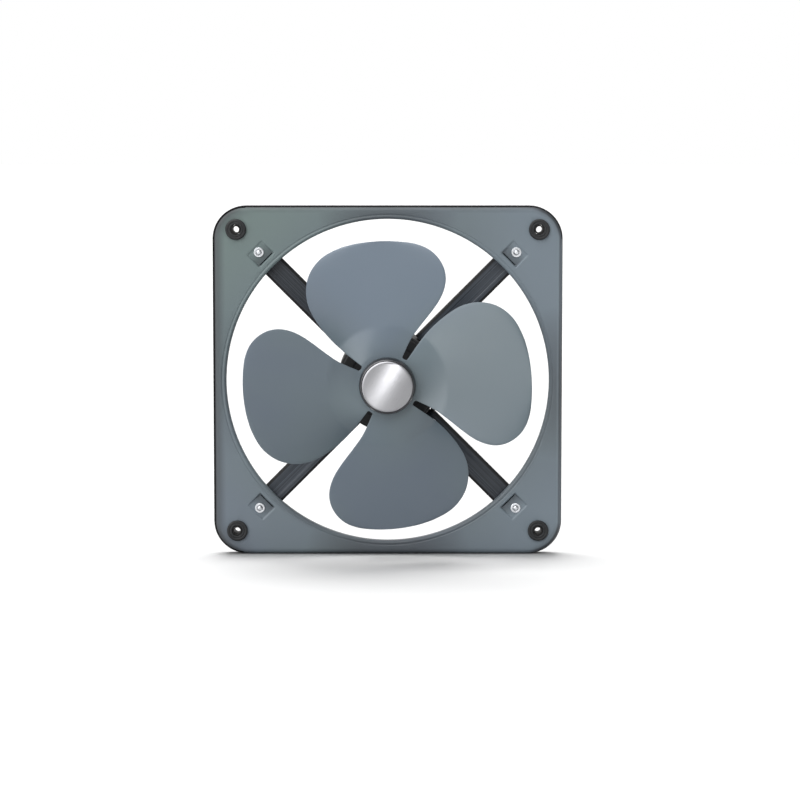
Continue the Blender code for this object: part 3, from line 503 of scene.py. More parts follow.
def arm_paint():
    """Glossy black, with lengthwise rolling marks. Painted shade makes the folds near black and darkens the
    upper-left and lower-right arms.
    """
    m = Nodes("arm_black")
    across = m.attribute("across")
    streak = m.attribute("streak")
    marks = m.add("ShaderNodeTexNoise", noise_dimensions="1D")
    marks.inputs["Scale"].default_value = 900.0
    marks.inputs["Detail"].default_value = 3.0
    m.link(streak, marks.inputs["W"])
    marked = m.remap(marks.outputs["Fac"], 0.35, 0.68, 0.0, 1.0)
    web = m.blend(marked, (0.018, 0.022, 0.027), (0.052, 0.061, 0.076))
    x, _, z = m.axes(m.coords())
    # Painted shade on the upper-left and lower-right arms.
    shaded_pair = m.remap(m.absolute(m.math("ADD", x, z)), 0.02, 0.09, 0.42, 0.0)
    web = m.blend(shaded_pair, web, (0.010, 0.011, 0.012))
    # Painted shade: the folds near black.
    m.colour(m.blend(m.remap(across, 0.0085, 0.0100, 0.0, 1.0), web, (0.0025, 0.0025, 0.003)))
    m.rough(m.remap(across, 0.0085, 0.0100, 0.38, 0.62))
    m.bump(marks.outputs["Fac"], 0.00003)
    m.specular(0.3)
    return m.material


def motor_paint():
    m = enamel("motor_black", (0.0055, 0.0055, 0.006), (0.0085, 0.0085, 0.009), (0.40, 0.55), 0.00006)
    m.specular(0.3)
    return m.material


def rubber():
    m = Nodes("bush_rubber")
    bloom = m.remap(m.noise(140.0, 4.0, 0.6), 0.35, 0.7, 0.0, 1.0)
    m.colour(m.blend(bloom, (0.009, 0.010, 0.011), (0.020, 0.021, 0.022)))
    m.rough(m.remap(m.noise(70.0, 3.0, 0.6), 0.3, 0.7, 0.55, 0.72))
    m.bump(m.noise(1500.0, 2.0, 0.5), 0.00003)
    m.specular(0.3)
    return m.material


def plastic(name, one, two):
    m = Nodes(name)
    m.colour(m.blend(m.noise(50.0, 3.0, 0.5), one, two))
    m.rough(m.remap(m.noise(120.0, 3.0, 0.6), 0.3, 0.7, 0.42, 0.58))
    m.bump(m.noise(1300.0, 2.0, 0.6), 0.00004)
    return m.material


CAP_GRAIN = 58.0


def cap_metal():
    """Polished cap whose face is brushed in one direction."""
    m = Nodes("cap_chrome")
    where = m.add("ShaderNodeUVMap", uv_map="grain")
    lines = m.add("ShaderNodeMapping")
    lines.inputs["Scale"].default_value = (0.35, 26.0, 1.0)
    m.link(where.outputs["UV"], lines.inputs["Vector"])
    brush = m.add("ShaderNodeTexNoise")
    brush.inputs["Scale"].default_value = 9.0
    brush.inputs["Detail"].default_value = 5.0
    brush.inputs["Roughness"].default_value = 0.65
    m.link(lines.outputs["Vector"], brush.inputs["Vector"])
    streaks = m.remap(brush.outputs["Fac"], 0.3, 0.7, 0.0, 1.0)
    m.colour(m.blend(streaks, (0.375, 0.375, 0.387), (0.30, 0.30, 0.315)))
    m.rough(m.remap(brush.outputs["Fac"], 0.3, 0.7, 0.27, 0.34))
    m.bump(brush.outputs["Fac"], 0.00001)
    m.shader.inputs["Metallic"].default_value = 1.0
    m.shader.inputs["Anisotropic"].default_value = 0.92
    tangent = m.add("ShaderNodeTangent", direction_type="UV_MAP", uv_map="grain")
    m.link(tangent.outputs["Tangent"], m.shader.inputs["Tangent"])
    return m.material


PANEL_PAINT = panel_paint()
PANEL_BACK = enamel("panel_back", PANEL_LIGHT, PANEL_DARK, (0.42, 0.55)).material
RIM_SHADE = rim_shade_paint()
BLADE_PAINT = blade_paint()
ARM_PAINT = arm_paint()
MOTOR_PAINT = motor_paint()
RUBBER = rubber()
ZINC = bare_metal("zinc_plate", (0.72, 0.74, 0.77), (0.22, 0.36), grain=400.0).material
STEEL = bare_metal("oiled_steel", (0.30, 0.30, 0.31), (0.30, 0.44), grain=500.0).material
BLACKENED = bare_metal("blackened_steel", (0.035, 0.034, 0.034), (0.40, 0.55), grain=500.0).material
CAST = bare_metal("cast_aluminium", (0.56, 0.57, 0.59), (0.42, 0.58), grain=700.0, depth=0.00004).material
CAP_METAL = cap_metal()
# Dark metal for the cap's skirt: painted shade and dark reflection round the cap's shoulder.
CAP_SKIRT = bare_metal("cap_skirt", (0.10, 0.10, 0.105), (0.28, 0.40), grain=400.0).material
CORE = bare_metal("core_steel", (0.14, 0.14, 0.15), (0.4, 0.6), (1, 40, 1)).material
COPPER = bare_metal("copper_wire", (0.55, 0.22, 0.09), (0.3, 0.45)).material
BLACK_PLASTIC = plastic("black_plastic", (0.010, 0.010, 0.011), (0.018, 0.018, 0.019))
GREY_PLASTIC = plastic("grey_plastic", (0.30, 0.31, 0.33), (0.36, 0.37, 0.39))
SLEEVING = plastic("lead_sleeving", (0.34, 0.30, 0.22), (0.44, 0.39, 0.30))

SLOT_LOOKS = {
    "panel_grey": PANEL_PAINT,
    "blade_grey": BLADE_PAINT,
    "gloss_black": MOTOR_PAINT,
    "motor_black": MOTOR_PAINT,
    "rubber": RUBBER,
    "zinc_steel": ZINC,
    "dark_steel": STEEL,
    "chrome": CAP_METAL,
    "cast_aluminium": CAST,
    "core_steel": CORE,
    "copper": COPPER,
    "black_plastic": BLACK_PLASTIC,
    "grey_plastic": GREY_PLASTIC,
    "sleeving": SLEEVING,
}
for entry in frame["record"]["subparts"]:
    node = frame["nodes"][entry["node"]]
    node.data.materials.clear()
    node.data.materials.append(SLOT_LOOKS[entry["material_slot"]])


# ---- Panel ----
def rounded_square(inset, y, side_steps=40, arc_steps=14):
    """Points round the panel's outline, moved in by inset."""
    straight = PANEL_HALF - PANEL_CORNER_R
    limit = atan2(straight, PANEL_HALF)
    quarter = []
    for i in range(side_steps):
        z = PANEL_HALF * tan(limit * (2 * i / side_steps - 1))
        quarter.append(Vector((PANEL_HALF - inset, y, z)))
    r = PANEL_CORNER_R - inset
    for i in range(arc_steps):
        a = pi / 2 * i / arc_steps
        quarter.append(Vector((straight + r * cos(a), y, straight + r * sin(a))))
    points = []
    for k in range(4):
        turn = Matrix.Rotation(-k * pi / 2, 3, "Y")
        points += [turn @ p for p in quarter]
    return points


RIM_PROFILE = (
    (0.0078, 0.0), (0.0064, 0.0), (0.0051, 0.00005), (0.0040, 0.00025), (0.0031, 0.00058),
    (0.0022, 0.00108), (0.0015, 0.00172), (0.0009, 0.00255), (0.0004, 0.00365), (0.0001, 0.00480),
    (0.0, 0.0060), (0.0, 0.0140),
)
PAD_DEEP, PAD_SHALLOW, PAD_WALL = 0.0024, 0.0008, 0.0010
WINDOW_IN, WINDOW_OUT, WINDOW_HALF = 0.0032, 0.0030, 0.0144
WINDOW_ROWS, WINDOW_COLUMNS = 36, 42
SLOT_NEAR, SLOT_FAR, SLOT_HALF = 0.0007, 0.0017, 0.0089


def pad_depth(a, b):
    """How far the pad is pressed in, at a from its inner edge and b from its middle."""
    length = PAD_OUTER_R - PAD_INNER_R
    depth = mix(PAD_DEEP, PAD_SHALLOW, smooth(a / length * 0.94))
    depth *= ramp(PAD_HALF - abs(b), -0.0001, PAD_WALL * (0.55 + 0.45 * depth / PAD_DEEP))
    depth *= ramp(a, -0.0002, 0.0007) * ramp(length - a, -0.0001, 0.0007)
    return depth


def loop_edges(bm, verts):
    """The edges of a closed loop of vertices, made where they're missing."""
    edges = []
    for i, v in enumerate(verts):
        w = verts[(i + 1) % len(verts)]
        edges.append(bm.edges.get((v, w)) or bm.edges.new((v, w)))
    return edges


def add_pad(bm, angle, sink_layer):
    """A window of the panel's face with the pad and its slot in it. Returns its border."""
    out, along = on_circle(angle, 1), on_circle(angle + 90, 1)
    length = PAD_OUTER_R - PAD_INNER_R
    across = [mix(-WINDOW_IN, length + WINDOW_OUT, i / WINDOW_ROWS) for i in range(WINDOW_ROWS + 1)]
    aside = [mix(-WINDOW_HALF, WINDOW_HALF, j / WINDOW_COLUMNS) for j in range(WINDOW_COLUMNS + 1)]
    grid = []
    for a in across:
        row = []
        for b in aside:
            sink = pad_depth(a, b)
            row.append(bm.verts.new((PAD_INNER_R + a) * out + b * along + Vector((0, FRONT_Y + sink, 0))))
            row[-1][sink_layer] = sink
        grid.append(row)
    for i in range(WINDOW_ROWS):
        for j in range(WINDOW_COLUMNS):
            a = mix(-WINDOW_IN, length + WINDOW_OUT, (i + 0.5) / WINDOW_ROWS)
            b = mix(-WINDOW_HALF, WINDOW_HALF, (j + 0.5) / WINDOW_COLUMNS)
            if SLOT_NEAR < a < SLOT_FAR and abs(b) < SLOT_HALF:
                continue
            bm.faces.new((grid[i][j], grid[i][j + 1], grid[i + 1][j + 1], grid[i + 1][j]))
    sides = [row[-1] for row in grid[1:]], [row[0] for row in reversed(grid[1:-1])]
    return grid[0] + sides[0] + list(reversed(grid[-1][:-1])) + sides[1]


def make_panel():
    bm = bmesh.new()
    sink_layer = bm.verts.layers.float.new("sink")
    rows = [rounded_square(inset, FRONT_Y + drop) for inset, drop in RIM_PROFILE]
    rows.append(rounded_square(0.0, PANEL_RIM_Y - 0.0006))
    rows.append(rounded_square(0.0, PANEL_RIM_Y))
    rim = add_loft(bm, rows)
    fill = loop_edges(bm, rim[0])
    insets = [inset for inset, drop in RIM_PROFILE] + [0.0, 0.0]
    inset_of = {v: inset for row, inset in zip(rim, insets) for v in row}
    count = 256
    lip = 0.003
    groove = ((0.0056, 0.0), (0.0050, 0.00036), (0.0044, 0.00056), (0.0037, 0.00032), (lip, 0.0))
    lip_profile = [(INLET_R + out, FRONT_Y + depth) for out, depth in groove]
    for k in range(1, 9):
        a = pi / 2 * k / 8
        lip_profile.append((INLET_R + lip - lip * sin(a), FRONT_Y + lip - lip * cos(a)))
    lip_profile += [(INLET_R, FRONT_Y + 0.006), (INLET_R, FRONT_Y + 0.009)]
    ring = add_loft(bm, [[on_circle(360 * k / count, r, y) for k in range(count)] for r, y in lip_profile])
    fill += loop_edges(bm, ring[0])
    for angle in CORNERS.values():
        centre = corner_spot(angle)
        hole = []
        for k in range(48):
            a = 2 * pi * k / 48
            hole.append(bm.verts.new(centre + Vector((0.008 * cos(a), FRONT_Y, 0.008 * sin(a)))))
        fill += loop_edges(bm, hole)
        fill += loop_edges(bm, add_pad(bm, angle, sink_layer))
    bmesh.ops.triangle_fill(bm, use_beauty=True, use_dissolve=False, edges=fill, normal=(0, -1, 0))
    loose = [v for v in bm.verts if not v.link_faces]
    bmesh.ops.delete(bm, geom=loose, context="VERTS")
    bmesh.ops.recalc_face_normals(bm, faces=bm.faces)
    flat = max(bm.faces, key=lambda f: f.calc_area())
    if flat.normal.y > 0:
        bmesh.ops.reverse_faces(bm, faces=bm.faces)
    # Faces along the outer edge and the side walls take the black rim material as painted shade: wider on
    # the left and top, none along the bottom middle.
    for f in bm.faces:
        middle = f.calc_center_median()
        wear_and_shade = 0.0023 if middle.x < -0.150 else 0.0016 if middle.z > 0.150 else 0.0005
        if middle.z < -0.150 and abs(middle.x) < 0.155:
            wear_and_shade = 0.0
        f.material_index = 1 if max(inset_of.get(v, 1.0) for v in f.verts) < wear_and_shade else 0
    obj = mesh_object("panel_sheet", bm, (PANEL_PAINT, RIM_SHADE, PANEL_BACK, PANEL_BACK))
    solid = obj.modifiers.new("sheet", "SOLIDIFY")
    solid.thickness = SHEET
    solid.offset = -1
    solid.material_offset = 2
    solid.use_even_offset = False
    normals = obj.modifiers.new("normals", "WEIGHTED_NORMAL")
    normals.keep_sharp = True
    normals.weight = 60
    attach(obj, "frame")
    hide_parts("frame_panel")


make_panel()


# ---- Corner bushes ----
def make_bushes():
    lip_front, lip_back = FRONT_Y - 0.0001, FRONT_Y + SHEET + 0.0001
    outer = [
        (0.0053, 0.0), (BUSH_R, 0.0), (BUSH_R, lip_back), (0.0078, lip_back), (0.0078, lip_front),
        (BUSH_R, lip_front), (BUSH_R, FRONT_Y - 0.0021), (BUSH_R - 0.0011, FRONT_Y - 0.0032),
        (0.0086, FRONT_Y - 0.0032), (0.0082, FRONT_Y - 0.0028), (0.0076, FRONT_Y - 0.0028),
        (0.0072, FRONT_Y - 0.0032), (0.0060, FRONT_Y - 0.0032), (0.0053, FRONT_Y - 0.0026),
    ]
    outer = fillet(outer, 0.0006, 4, True)
    sleeve = [(0.0050, -0.0003), (0.0050, FRONT_Y - 0.0022), (0.0034, FRONT_Y - 0.0022), (0.0034, -0.0003)]
    sleeve = fillet(sleeve, 0.0004, 3, True)
    for name, angle in CORNERS.items():
        spot = corner_spot(angle)
        centre = (spot.x, spot.z)
        lathe(f"bush_{name}", outer, RUBBER, "frame", [f"corner_bush_{name}"], 64, True, centre)
        lathe(f"sleeve_{name}", sleeve, BLACKENED, "frame", [f"bush_sleeve_{name}"], 48, True, centre)


make_bushes()


# ---- Arms ----
def arm_section():
    """Half of the channel's section as (across, depth): flange, fold, then a web with a shallow bead."""
    half = [(ARM_HALF, ARM_FLANGE), (ARM_HALF, ARM_FLANGE * 0.6)]
    r = 0.0026
    for k in range(7):
        a = pi / 2 * k / 6
        half.append((ARM_HALF - r + r * cos(a), r - r * sin(a)))
    for k in range(1, 13):
        w = (ARM_HALF - r) * (1 - k / 12)
        bead = 0.0005 * ramp(0.0062 - w, 0.0, 0.0018)
        half.append((w, bead))
    return half


def make_arms():
    half = arm_section()
    section = half + [(-w, d) for w, d in reversed(half[:-1])]
    flat_half = 0.00925
    stations = [ARM_INNER_R + (0.160 - ARM_INNER_R) * i / 12 for i in range(13)]
    stations += [0.160 + (ARM_OUTER_R - 0.160) * i / 28 for i in range(1, 29)]
    for name, angle in CORNERS.items():
        bm = bmesh.new()
        across_layer = bm.verts.layers.float.new("across")
        streak_layer = bm.verts.layers.float.new("streak")
        rows = []
        for r in stations:
            flat = ramp(r, 0.1735, 0.1800)
            depth = ARM_Y + (TONGUE_Y - ARM_Y) * ramp(r, 0.1755, 0.1845)
            row = []
            for k, (w, d) in enumerate(section):
                share = 1 - 2 * k / (len(section) - 1)
                row.append(Vector((r, depth + mix(d, 0.0, flat), mix(w, flat_half * share, flat))))
            rows.append(row)
        made = add_loft(bm, rows, closed_rows=False)
        for row in made:
            for k, v in enumerate(row):
                v[across_layer] = abs(section[k][0])
                v[streak_layer] = section[k][0] + 0.05 + angle * 0.001
        bmesh.ops.recalc_face_normals(bm, faces=bm.faces)
        bm.faces.ensure_lookup_table()
        if made[0][len(section) // 2].link_faces[0].normal.y > 0:
            bmesh.ops.reverse_faces(bm, faces=bm.faces)
        bm.transform(spoke(angle))
        arm = mesh_object(f"arm_{name}", bm, [ARM_PAINT])
        solid = arm.modifiers.new("sheet", "SOLIDIFY")
        solid.thickness = ARM_SHEET
        solid.offset = -1
        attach(arm, "frame")
        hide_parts(f"motor_arm_{name}")
        bm = bmesh.new()
        back_y = TONGUE_Y + ARM_SHEET
        spot = on_circle(angle, PAD_SCREW_R)
        add_prism(bm, 6, 0.0048, -(back_y + 0.0040), -back_y, (0, 0), 0.0008)
        bm.transform(Matrix.Translation(spot) @ Matrix.Rotation(pi, 4, "Z"))
        finish_mesh(f"arm_nut_{name}", bm, ZINC, "frame")


make_arms()


# ---- Screws ----
def annulus(inner, outer, low, high, radius, steps):
    """The section of a washer, from its high face round to its low one, with rounded edges."""
    return fillet([(inner, high), (outer, high), (outer, low), (inner, low)], radius, steps, True)


def make_panel_screws():
    """Flat washer, dark spring washer and a small domed screw on each pad."""
    for name, angle in CORNERS.items():
        spot = on_circle(angle, PAD_SCREW_R)
        centre = (spot.x, spot.z)
        seat = FRONT_Y + pad_depth(PAD_SCREW_R - PAD_INNER_R, 0.0) + 0.0002
        bm = bmesh.new()
        add_lathe(bm, annulus(0.0031, 0.0052, seat - 0.0012, seat, 0.0004, 4), 64, True, centre)
        top = seat - 0.0010
        head = [
            (0.0, -0.0095), (0.0021, -0.0095), (0.0021, top), (0.0024, top), (0.0024, top - 0.0012),
            (0.0019, top - 0.0020), (0.0, top - 0.0024),
        ]
        add_lathe(bm, fillet(head, {4: 0.0005, 5: 0.0008}, 4), 48, False, centre)
        finish_mesh(f"pad_screw_{name}", bm, ZINC, "frame", [f"panel_screw_{name}"])
        ring = annulus(0.0022, 0.0033, seat - 0.0007, seat - 0.0001, 0.0002, 2)
        lathe(f"spring_washer_{name}", ring, STEEL, "frame", (), 48, True, centre)


def make_lug_screws():
    seat = ARM_Y - 0.0001
    for name, angle in CORNERS.items():
        spot = on_circle(angle, LUG_SCREW_R)
        centre = (spot.x, spot.z)
        bm = bmesh.new()
        add_lathe(bm, annulus(0.0025, 0.0055, seat - 0.0008, seat + 0.0004, 0.0003, 3), 48, True, centre)
        add_prism(bm, 6, 0.0046, seat - 0.0043, seat - 0.0008, centre, 0.0006)
        shank = [(0.0, -0.0015), (0.0020, -0.0015), (0.0025, -0.0022), (0.0025, seat), (0.0, seat)]
        add_lathe(bm, shank, 32, False, centre)
        finish_mesh(f"lug_screw_{name}", bm, ZINC, "frame", [f"motor_screw_{name}"])


make_panel_screws()
make_lug_screws()


# ---- Motor ----
FACE_Y = -0.035
NOSE_Y = -0.047
HOUSING_FRONT, HOUSING_BACK = -0.012, 0.044
REAR_FACE = 0.055
BOLTS = (15, 105, 195, 285)


def make_motor():
    front = [
        (MOTOR_R, HOUSING_FRONT - 0.0002), (MOTOR_R, FACE_Y + 0.0030),
        (MOTOR_R - 0.0012, FACE_Y + 0.0018), (MOTOR_R - 0.0028, FACE_Y + 0.0018),
        (MOTOR_R - 0.0028, FACE_Y + 0.0008), (MOTOR_R - 0.0036, FACE_Y), (0.0400, FACE_Y),
        (0.0390, FACE_Y + 0.0009), (0.0280, FACE_Y + 0.0009), (0.0262, FACE_Y - 0.0006),
        (0.0218, FACE_Y - 0.0030), (0.0202, NOSE_Y + 0.0014), (0.0186, NOSE_Y), (0.0065, NOSE_Y),
        (0.0065, NOSE_Y + 0.0060), (0.0300, NOSE_Y + 0.0150), (0.0495, NOSE_Y + 0.0160),
        (0.0495, HOUSING_FRONT - 0.0002),
    ]
    lathe("motor_front", fillet(front, 0.0007, 4, True), MOTOR_PAINT, "frame", ["motor_front_shield"])

    bm = bmesh.new()
    drum = [
        (MOTOR_R, HOUSING_BACK), (MOTOR_R, 0.0400), (MOTOR_R - 0.0007, 0.0392),
        (MOTOR_R - 0.0007, 0.0378), (MOTOR_R, 0.0370), (MOTOR_R, 0.0010), (MOTOR_R - 0.0007, 0.0002),
        (MOTOR_R - 0.0007, -0.0012), (MOTOR_R, -0.0020), (MOTOR_R, HOUSING_FRONT),
        (0.0502, HOUSING_FRONT), (0.0502, HOUSING_BACK),
    ]
    add_lathe(bm, fillet(drum, 0.0004, 3, True))
    for angle in CORNERS.values():
        low = (MOTOR_R - 0.0015, ARM_Y + ARM_SHEET + 0.0002, -0.0095)
        add_rounded_box(bm, low, (LUG_SCREW_R + 0.009, -0.0030, 0.0095), 0.0014, 3, spoke(angle))
        web_low = (MOTOR_R - 0.0015, -0.0032, -0.0022)
        add_rounded_box(bm, web_low, (LUG_SCREW_R - 0.0020, 0.0060, 0.0022), 0.0010, 2, spoke(angle))
    add_rounded_box(bm, (-0.020, 0.0120, -0.0560), (0.020, 0.0430, -0.0460), 0.0012, 3)
    finish_mesh("motor_drum", bm, MOTOR_PAINT, "frame", ["motor_housing"])

    rear = [
        (0.0, REAR_FACE - 0.0022), (0.0120, REAR_FACE - 0.0022), (0.0140, REAR_FACE),
        (0.0225, REAR_FACE), (0.0245, REAR_FACE - 0.0014), (0.0430, REAR_FACE - 0.0014),
        (0.0470, REAR_FACE - 0.0022), (0.0518, REAR_FACE - 0.0058), (MOTOR_R, REAR_FACE - 0.0090),
        (MOTOR_R, HOUSING_BACK + 0.0002), (0.0500, HOUSING_BACK + 0.0002), (0.0480, REAR_FACE - 0.0060),
        (0.0, REAR_FACE - 0.0060),
    ]
    bm = bmesh.new()
    add_lathe(bm, fillet(rear, 0.0012, 5), SEGMENTS, False)
    for k in range(12):
        angle = 360 * k / 12 + 15
        if k % 3 == 2:
            continue
        low, high = (0.0285, REAR_FACE - 0.0030, -0.0010), (0.0440, REAR_FACE - 0.0002, 0.0010)
        add_rounded_box(bm, low, high, 0.0006, 2, spoke(angle))
    step, foot = REAR_FACE - 0.0002, REAR_FACE - 0.0030
    boss = [(0.0, step), (0.0058, step), (0.0064, foot), (0.0, foot)]
    earth = on_circle(90, 0.032)
    add_lathe(bm, fillet(boss, 0.0004, 3), 40, False, (earth.x, earth.z))
    finish_mesh("motor_rear", bm, MOTOR_PAINT, "frame", ["motor_rear_shield"])

    for i, angle in enumerate(BOLTS):
        spot = on_circle(angle, 0.0445)
        centre = (spot.x, spot.z)
        bm = bmesh.new()
        add_lathe(bm, annulus(0.0021, 0.0044, FACE_Y - 0.0006, FACE_Y, 0.0002, 2), 36, True, centre)
        add_prism(bm, 6, 0.0038, FACE_Y - 0.0034, FACE_Y - 0.0006, centre, 0.0005)
        finish_mesh(f"through_bolt_{i + 1}", bm, STEEL, "frame", [f"motor_bolt_{i + 1}"])

    bm = bmesh.new()
    centre = (earth.x, earth.z)
    add_lathe(bm, annulus(0.0025, 0.0054, REAR_FACE, REAR_FACE + 0.0010, 0.0003, 2), 40, True, centre)
    head = [
        (0.0, REAR_FACE + 0.0037), (0.0028, REAR_FACE + 0.0035), (0.0044, REAR_FACE + 0.0024),
        (0.0044, REAR_FACE + 0.0010), (0.0, REAR_FACE + 0.0010),
    ]
    add_lathe(bm, fillet(head, 0.0005, 4), 40, False, centre)
    finish_mesh("earth_screw_head", bm, ZINC, "frame", ["earth_screw"])


make_motor()


# ---- Terminal box ----
def make_terminal_box():
    low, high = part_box("terminal_box")
    bm = bmesh.new()
    add_rounded_box(bm, low, high, 0.0022, 4)
    for k in range(5):
        y = mix(low.y + 0.008, high.y - 0.008, k / 4)
        rib_low, rib_high = (low.x, y - 0.0008, low.z + 0.004), (low.x + 0.0010, y + 0.0008, high.z - 0.004)
        add_rounded_box(bm, rib_low, rib_high, 0.0003, 2)
    finish_mesh("junction_box", bm, BLACK_PLASTIC, "frame", ["terminal_box"])
    low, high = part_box("terminal_box_cover")
    bm = bmesh.new()
    add_rounded_box(bm, low, high, 0.0010, 3)
    step = Vector((0.004, 0.004, 0))
    add_rounded_box(bm, low + step + Vector((0, 0, -0.0005)), high - step, 0.0005, 2)
    finish_mesh("junction_cover", bm, BLACK_PLASTIC, "frame", ["terminal_box_cover"])
    for side in ("left", "right"):
        low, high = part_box(f"box_cover_screw_{side}")
        centre = (low + high) / 2
        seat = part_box("terminal_box_cover")[0].z
        bm = bmesh.new()
        head = [
            (0.0, -seat), (0.0034, -seat), (0.0033, -seat + 0.0015), (0.0020, -seat + 0.0022),
            (0.0, -seat + 0.0022),
        ]
        add_lathe(bm, fillet(head, 0.0005, 3), 36, False)
        bm.transform(Matrix.Translation((centre.x, centre.y, 0)) @ Matrix.Rotation(-pi / 2, 4, "X"))
        finish_mesh(f"cover_screw_{side}", bm, ZINC, "frame", [f"box_cover_screw_{side}"])
    low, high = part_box("cable_gland")
    centre = Vector((0, (low.y + high.y) / 2, (low.z + high.z) / 2))
    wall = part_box("terminal_box")[1].x
    bm = bmesh.new()
    body = [
        (0.0036, wall - 0.004), (0.0036, high.x - 0.0020), (0.0048, high.x), (0.0058, high.x - 0.0003),
        (0.0074, high.x - 0.0028), (0.0080, high.x - 0.0080), (0.0080, wall + 0.0045),
        (0.0062, wall + 0.0045), (0.0062, wall - 0.004),
    ]
    add_lathe(bm, fillet(body, 0.0006, 4, True), 64, True)
    for k in range(16):
        spine = Matrix.Rotation(2 * pi * k / 16, 4, "Y")
        rib_low, rib_high = (0.0074, wall + 0.0055, -0.0006), (0.0085, high.x - 0.0085, 0.0006)
        add_rounded_box(bm, rib_low, rib_high, 0.0003, 2, spine)
    add_prism(bm, 6, 0.0092, wall + 0.0002, wall + 0.0045, (0, 0), 0.0004)
    bm.transform(Matrix.Translation(centre) @ Matrix.Rotation(-pi / 2, 4, "Z"))
    finish_mesh("gland_body", bm, BLACK_PLASTIC, "frame", ["cable_gland"])


make_terminal_box()


# ---- Impeller ----
BLADES = 4
PITCH_SLOPE = 0.34
TWIST_START, TWIST_END = 0.0315, 0.0640
CAMBER = 0.003
OUTLINE = (
    (0.0345, 52.6, -27.4), (0.0450, 53.0, -26.6), (0.0560, 53.0, -26.6), (0.0700, 52.3, -28.2),
    (0.0850, 50.7, -29.9), (0.1000, 48.6, -30.8), (0.1130, 46.2, -30.4), (0.1250, 42.7, -28.7),
    (0.1340, 39.0, -26.1), (0.1405, 35.3, -23.1), (0.1455, 30.9, -19.7), (0.1486, 26.0, -16.0),
    (TIP_R, 18.0, -10.8),
)
COLUMNS = 44


def catmull(p0, p1, p2, p3, t):
    return 0.5 * (
        2 * p1 + (p2 - p0) * t + (2 * p0 - 5 * p1 + 4 * p2 - p3) * t * t + (3 * p1 - p0 - 3 * p2 + p3) * t**3
    )


def outline_rows(per_span=6):
    """The outline's rows with smooth ones between them."""
    table = [np.array(row, float) for row in OUTLINE]
    padded = [2 * table[0] - table[1]] + table + [2 * table[-1] - table[-2]]
    rows = []
    for i in range(1, len(padded) - 2):
        for k in range(per_span):
            rows.append(catmull(padded[i - 1], padded[i], padded[i + 1], padded[i + 2], k / per_span))
    rows.append(table[-1])
    return rows


def sheet_height(radius, angle, share):
    t = min(max((radius - TWIST_START) / (TWIST_END - TWIST_START), 0), 1)
    soft = 0.10
    if t < soft:
        blend = t * t / (2 * soft)
    elif t > 1 - soft:
        blend = 1 - soft - (1 - t) ** 2 / (2 * soft)
    else:
        blend = t - soft / 2
    blend /= 1 - soft
    across = -radius * sin(angle)
    bulge = 4 * CAMBER * share * (1 - share)
    return WHEEL_Y - blend * (PITCH_SLOPE * across + bulge)


def make_wheel():
    bm = bmesh.new()
    rows = outline_rows()
    root = rows[0]
    spread = [i / COLUMNS for i in range(COLUMNS + 1)]

    def vert(axis, radius, trailing, leading, share):
        angle = radians(trailing + (leading - trailing) * share)
        around = radians(axis) + angle
        return bm.verts.new((radius * cos(around), sheet_height(radius, angle, share), radius * sin(around)))

    gap_steps = 8
    disc = []
    for radius in (BORE_R, 0.010, 0.016, 0.022, 0.027, 0.0300, 0.0335):
        row = []
        for blade in range(BLADES):
            axis = 90 - blade * 90
            row += [vert(axis, radius, root[1], root[2], share) for share in spread]
            start, end = root[2], root[1] - 90
            for k in range(1, gap_steps):
                share = k / gap_steps
                pull = 0.0011 * (1 - abs(2 * share - 1) ** 3) if radius > 0.031 else 0.0
                angle = start + (end - start) * share
                row.append(vert(axis, radius - pull, angle, angle, 0))
        disc.append(row)
    for near, far in zip(disc, disc[1:]):
        for i in range(len(near)):
            j = (i + 1) % len(near)
            bm.faces.new((near[i], near[j], far[j], far[i]))
    per_blade = COLUMNS + gap_steps
    for blade in range(BLADES):
        axis = 90 - blade * 90
        near = disc[-1][blade * per_blade : blade * per_blade + COLUMNS + 1]
        for radius, trailing, leading in rows:
            far = [vert(axis, radius, trailing, leading, share) for share in spread]
            for i in range(COLUMNS):
                bm.faces.new((near[i], near[i + 1], far[i + 1], far[i]))
            near = far
    bmesh.ops.recalc_face_normals(bm, faces=bm.faces)
    bm.faces.ensure_lookup_table()
    if bm.faces[0].normal.y > 0:
        bmesh.ops.reverse_faces(bm, faces=bm.faces)
    wheel = mesh_object("stamped_wheel", bm, [BLADE_PAINT])
    solid = wheel.modifiers.new("sheet", "SOLIDIFY")
    solid.thickness = SHEET
    solid.offset = 0
    edges = wheel.modifiers.new("edges", "BEVEL")
    edges.width = 0.0003
    edges.segments = 2
    edges.limit_method = "ANGLE"
    edges.angle_limit = radians(60)
    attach(wheel, "impeller")
    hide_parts("blade_wheel")


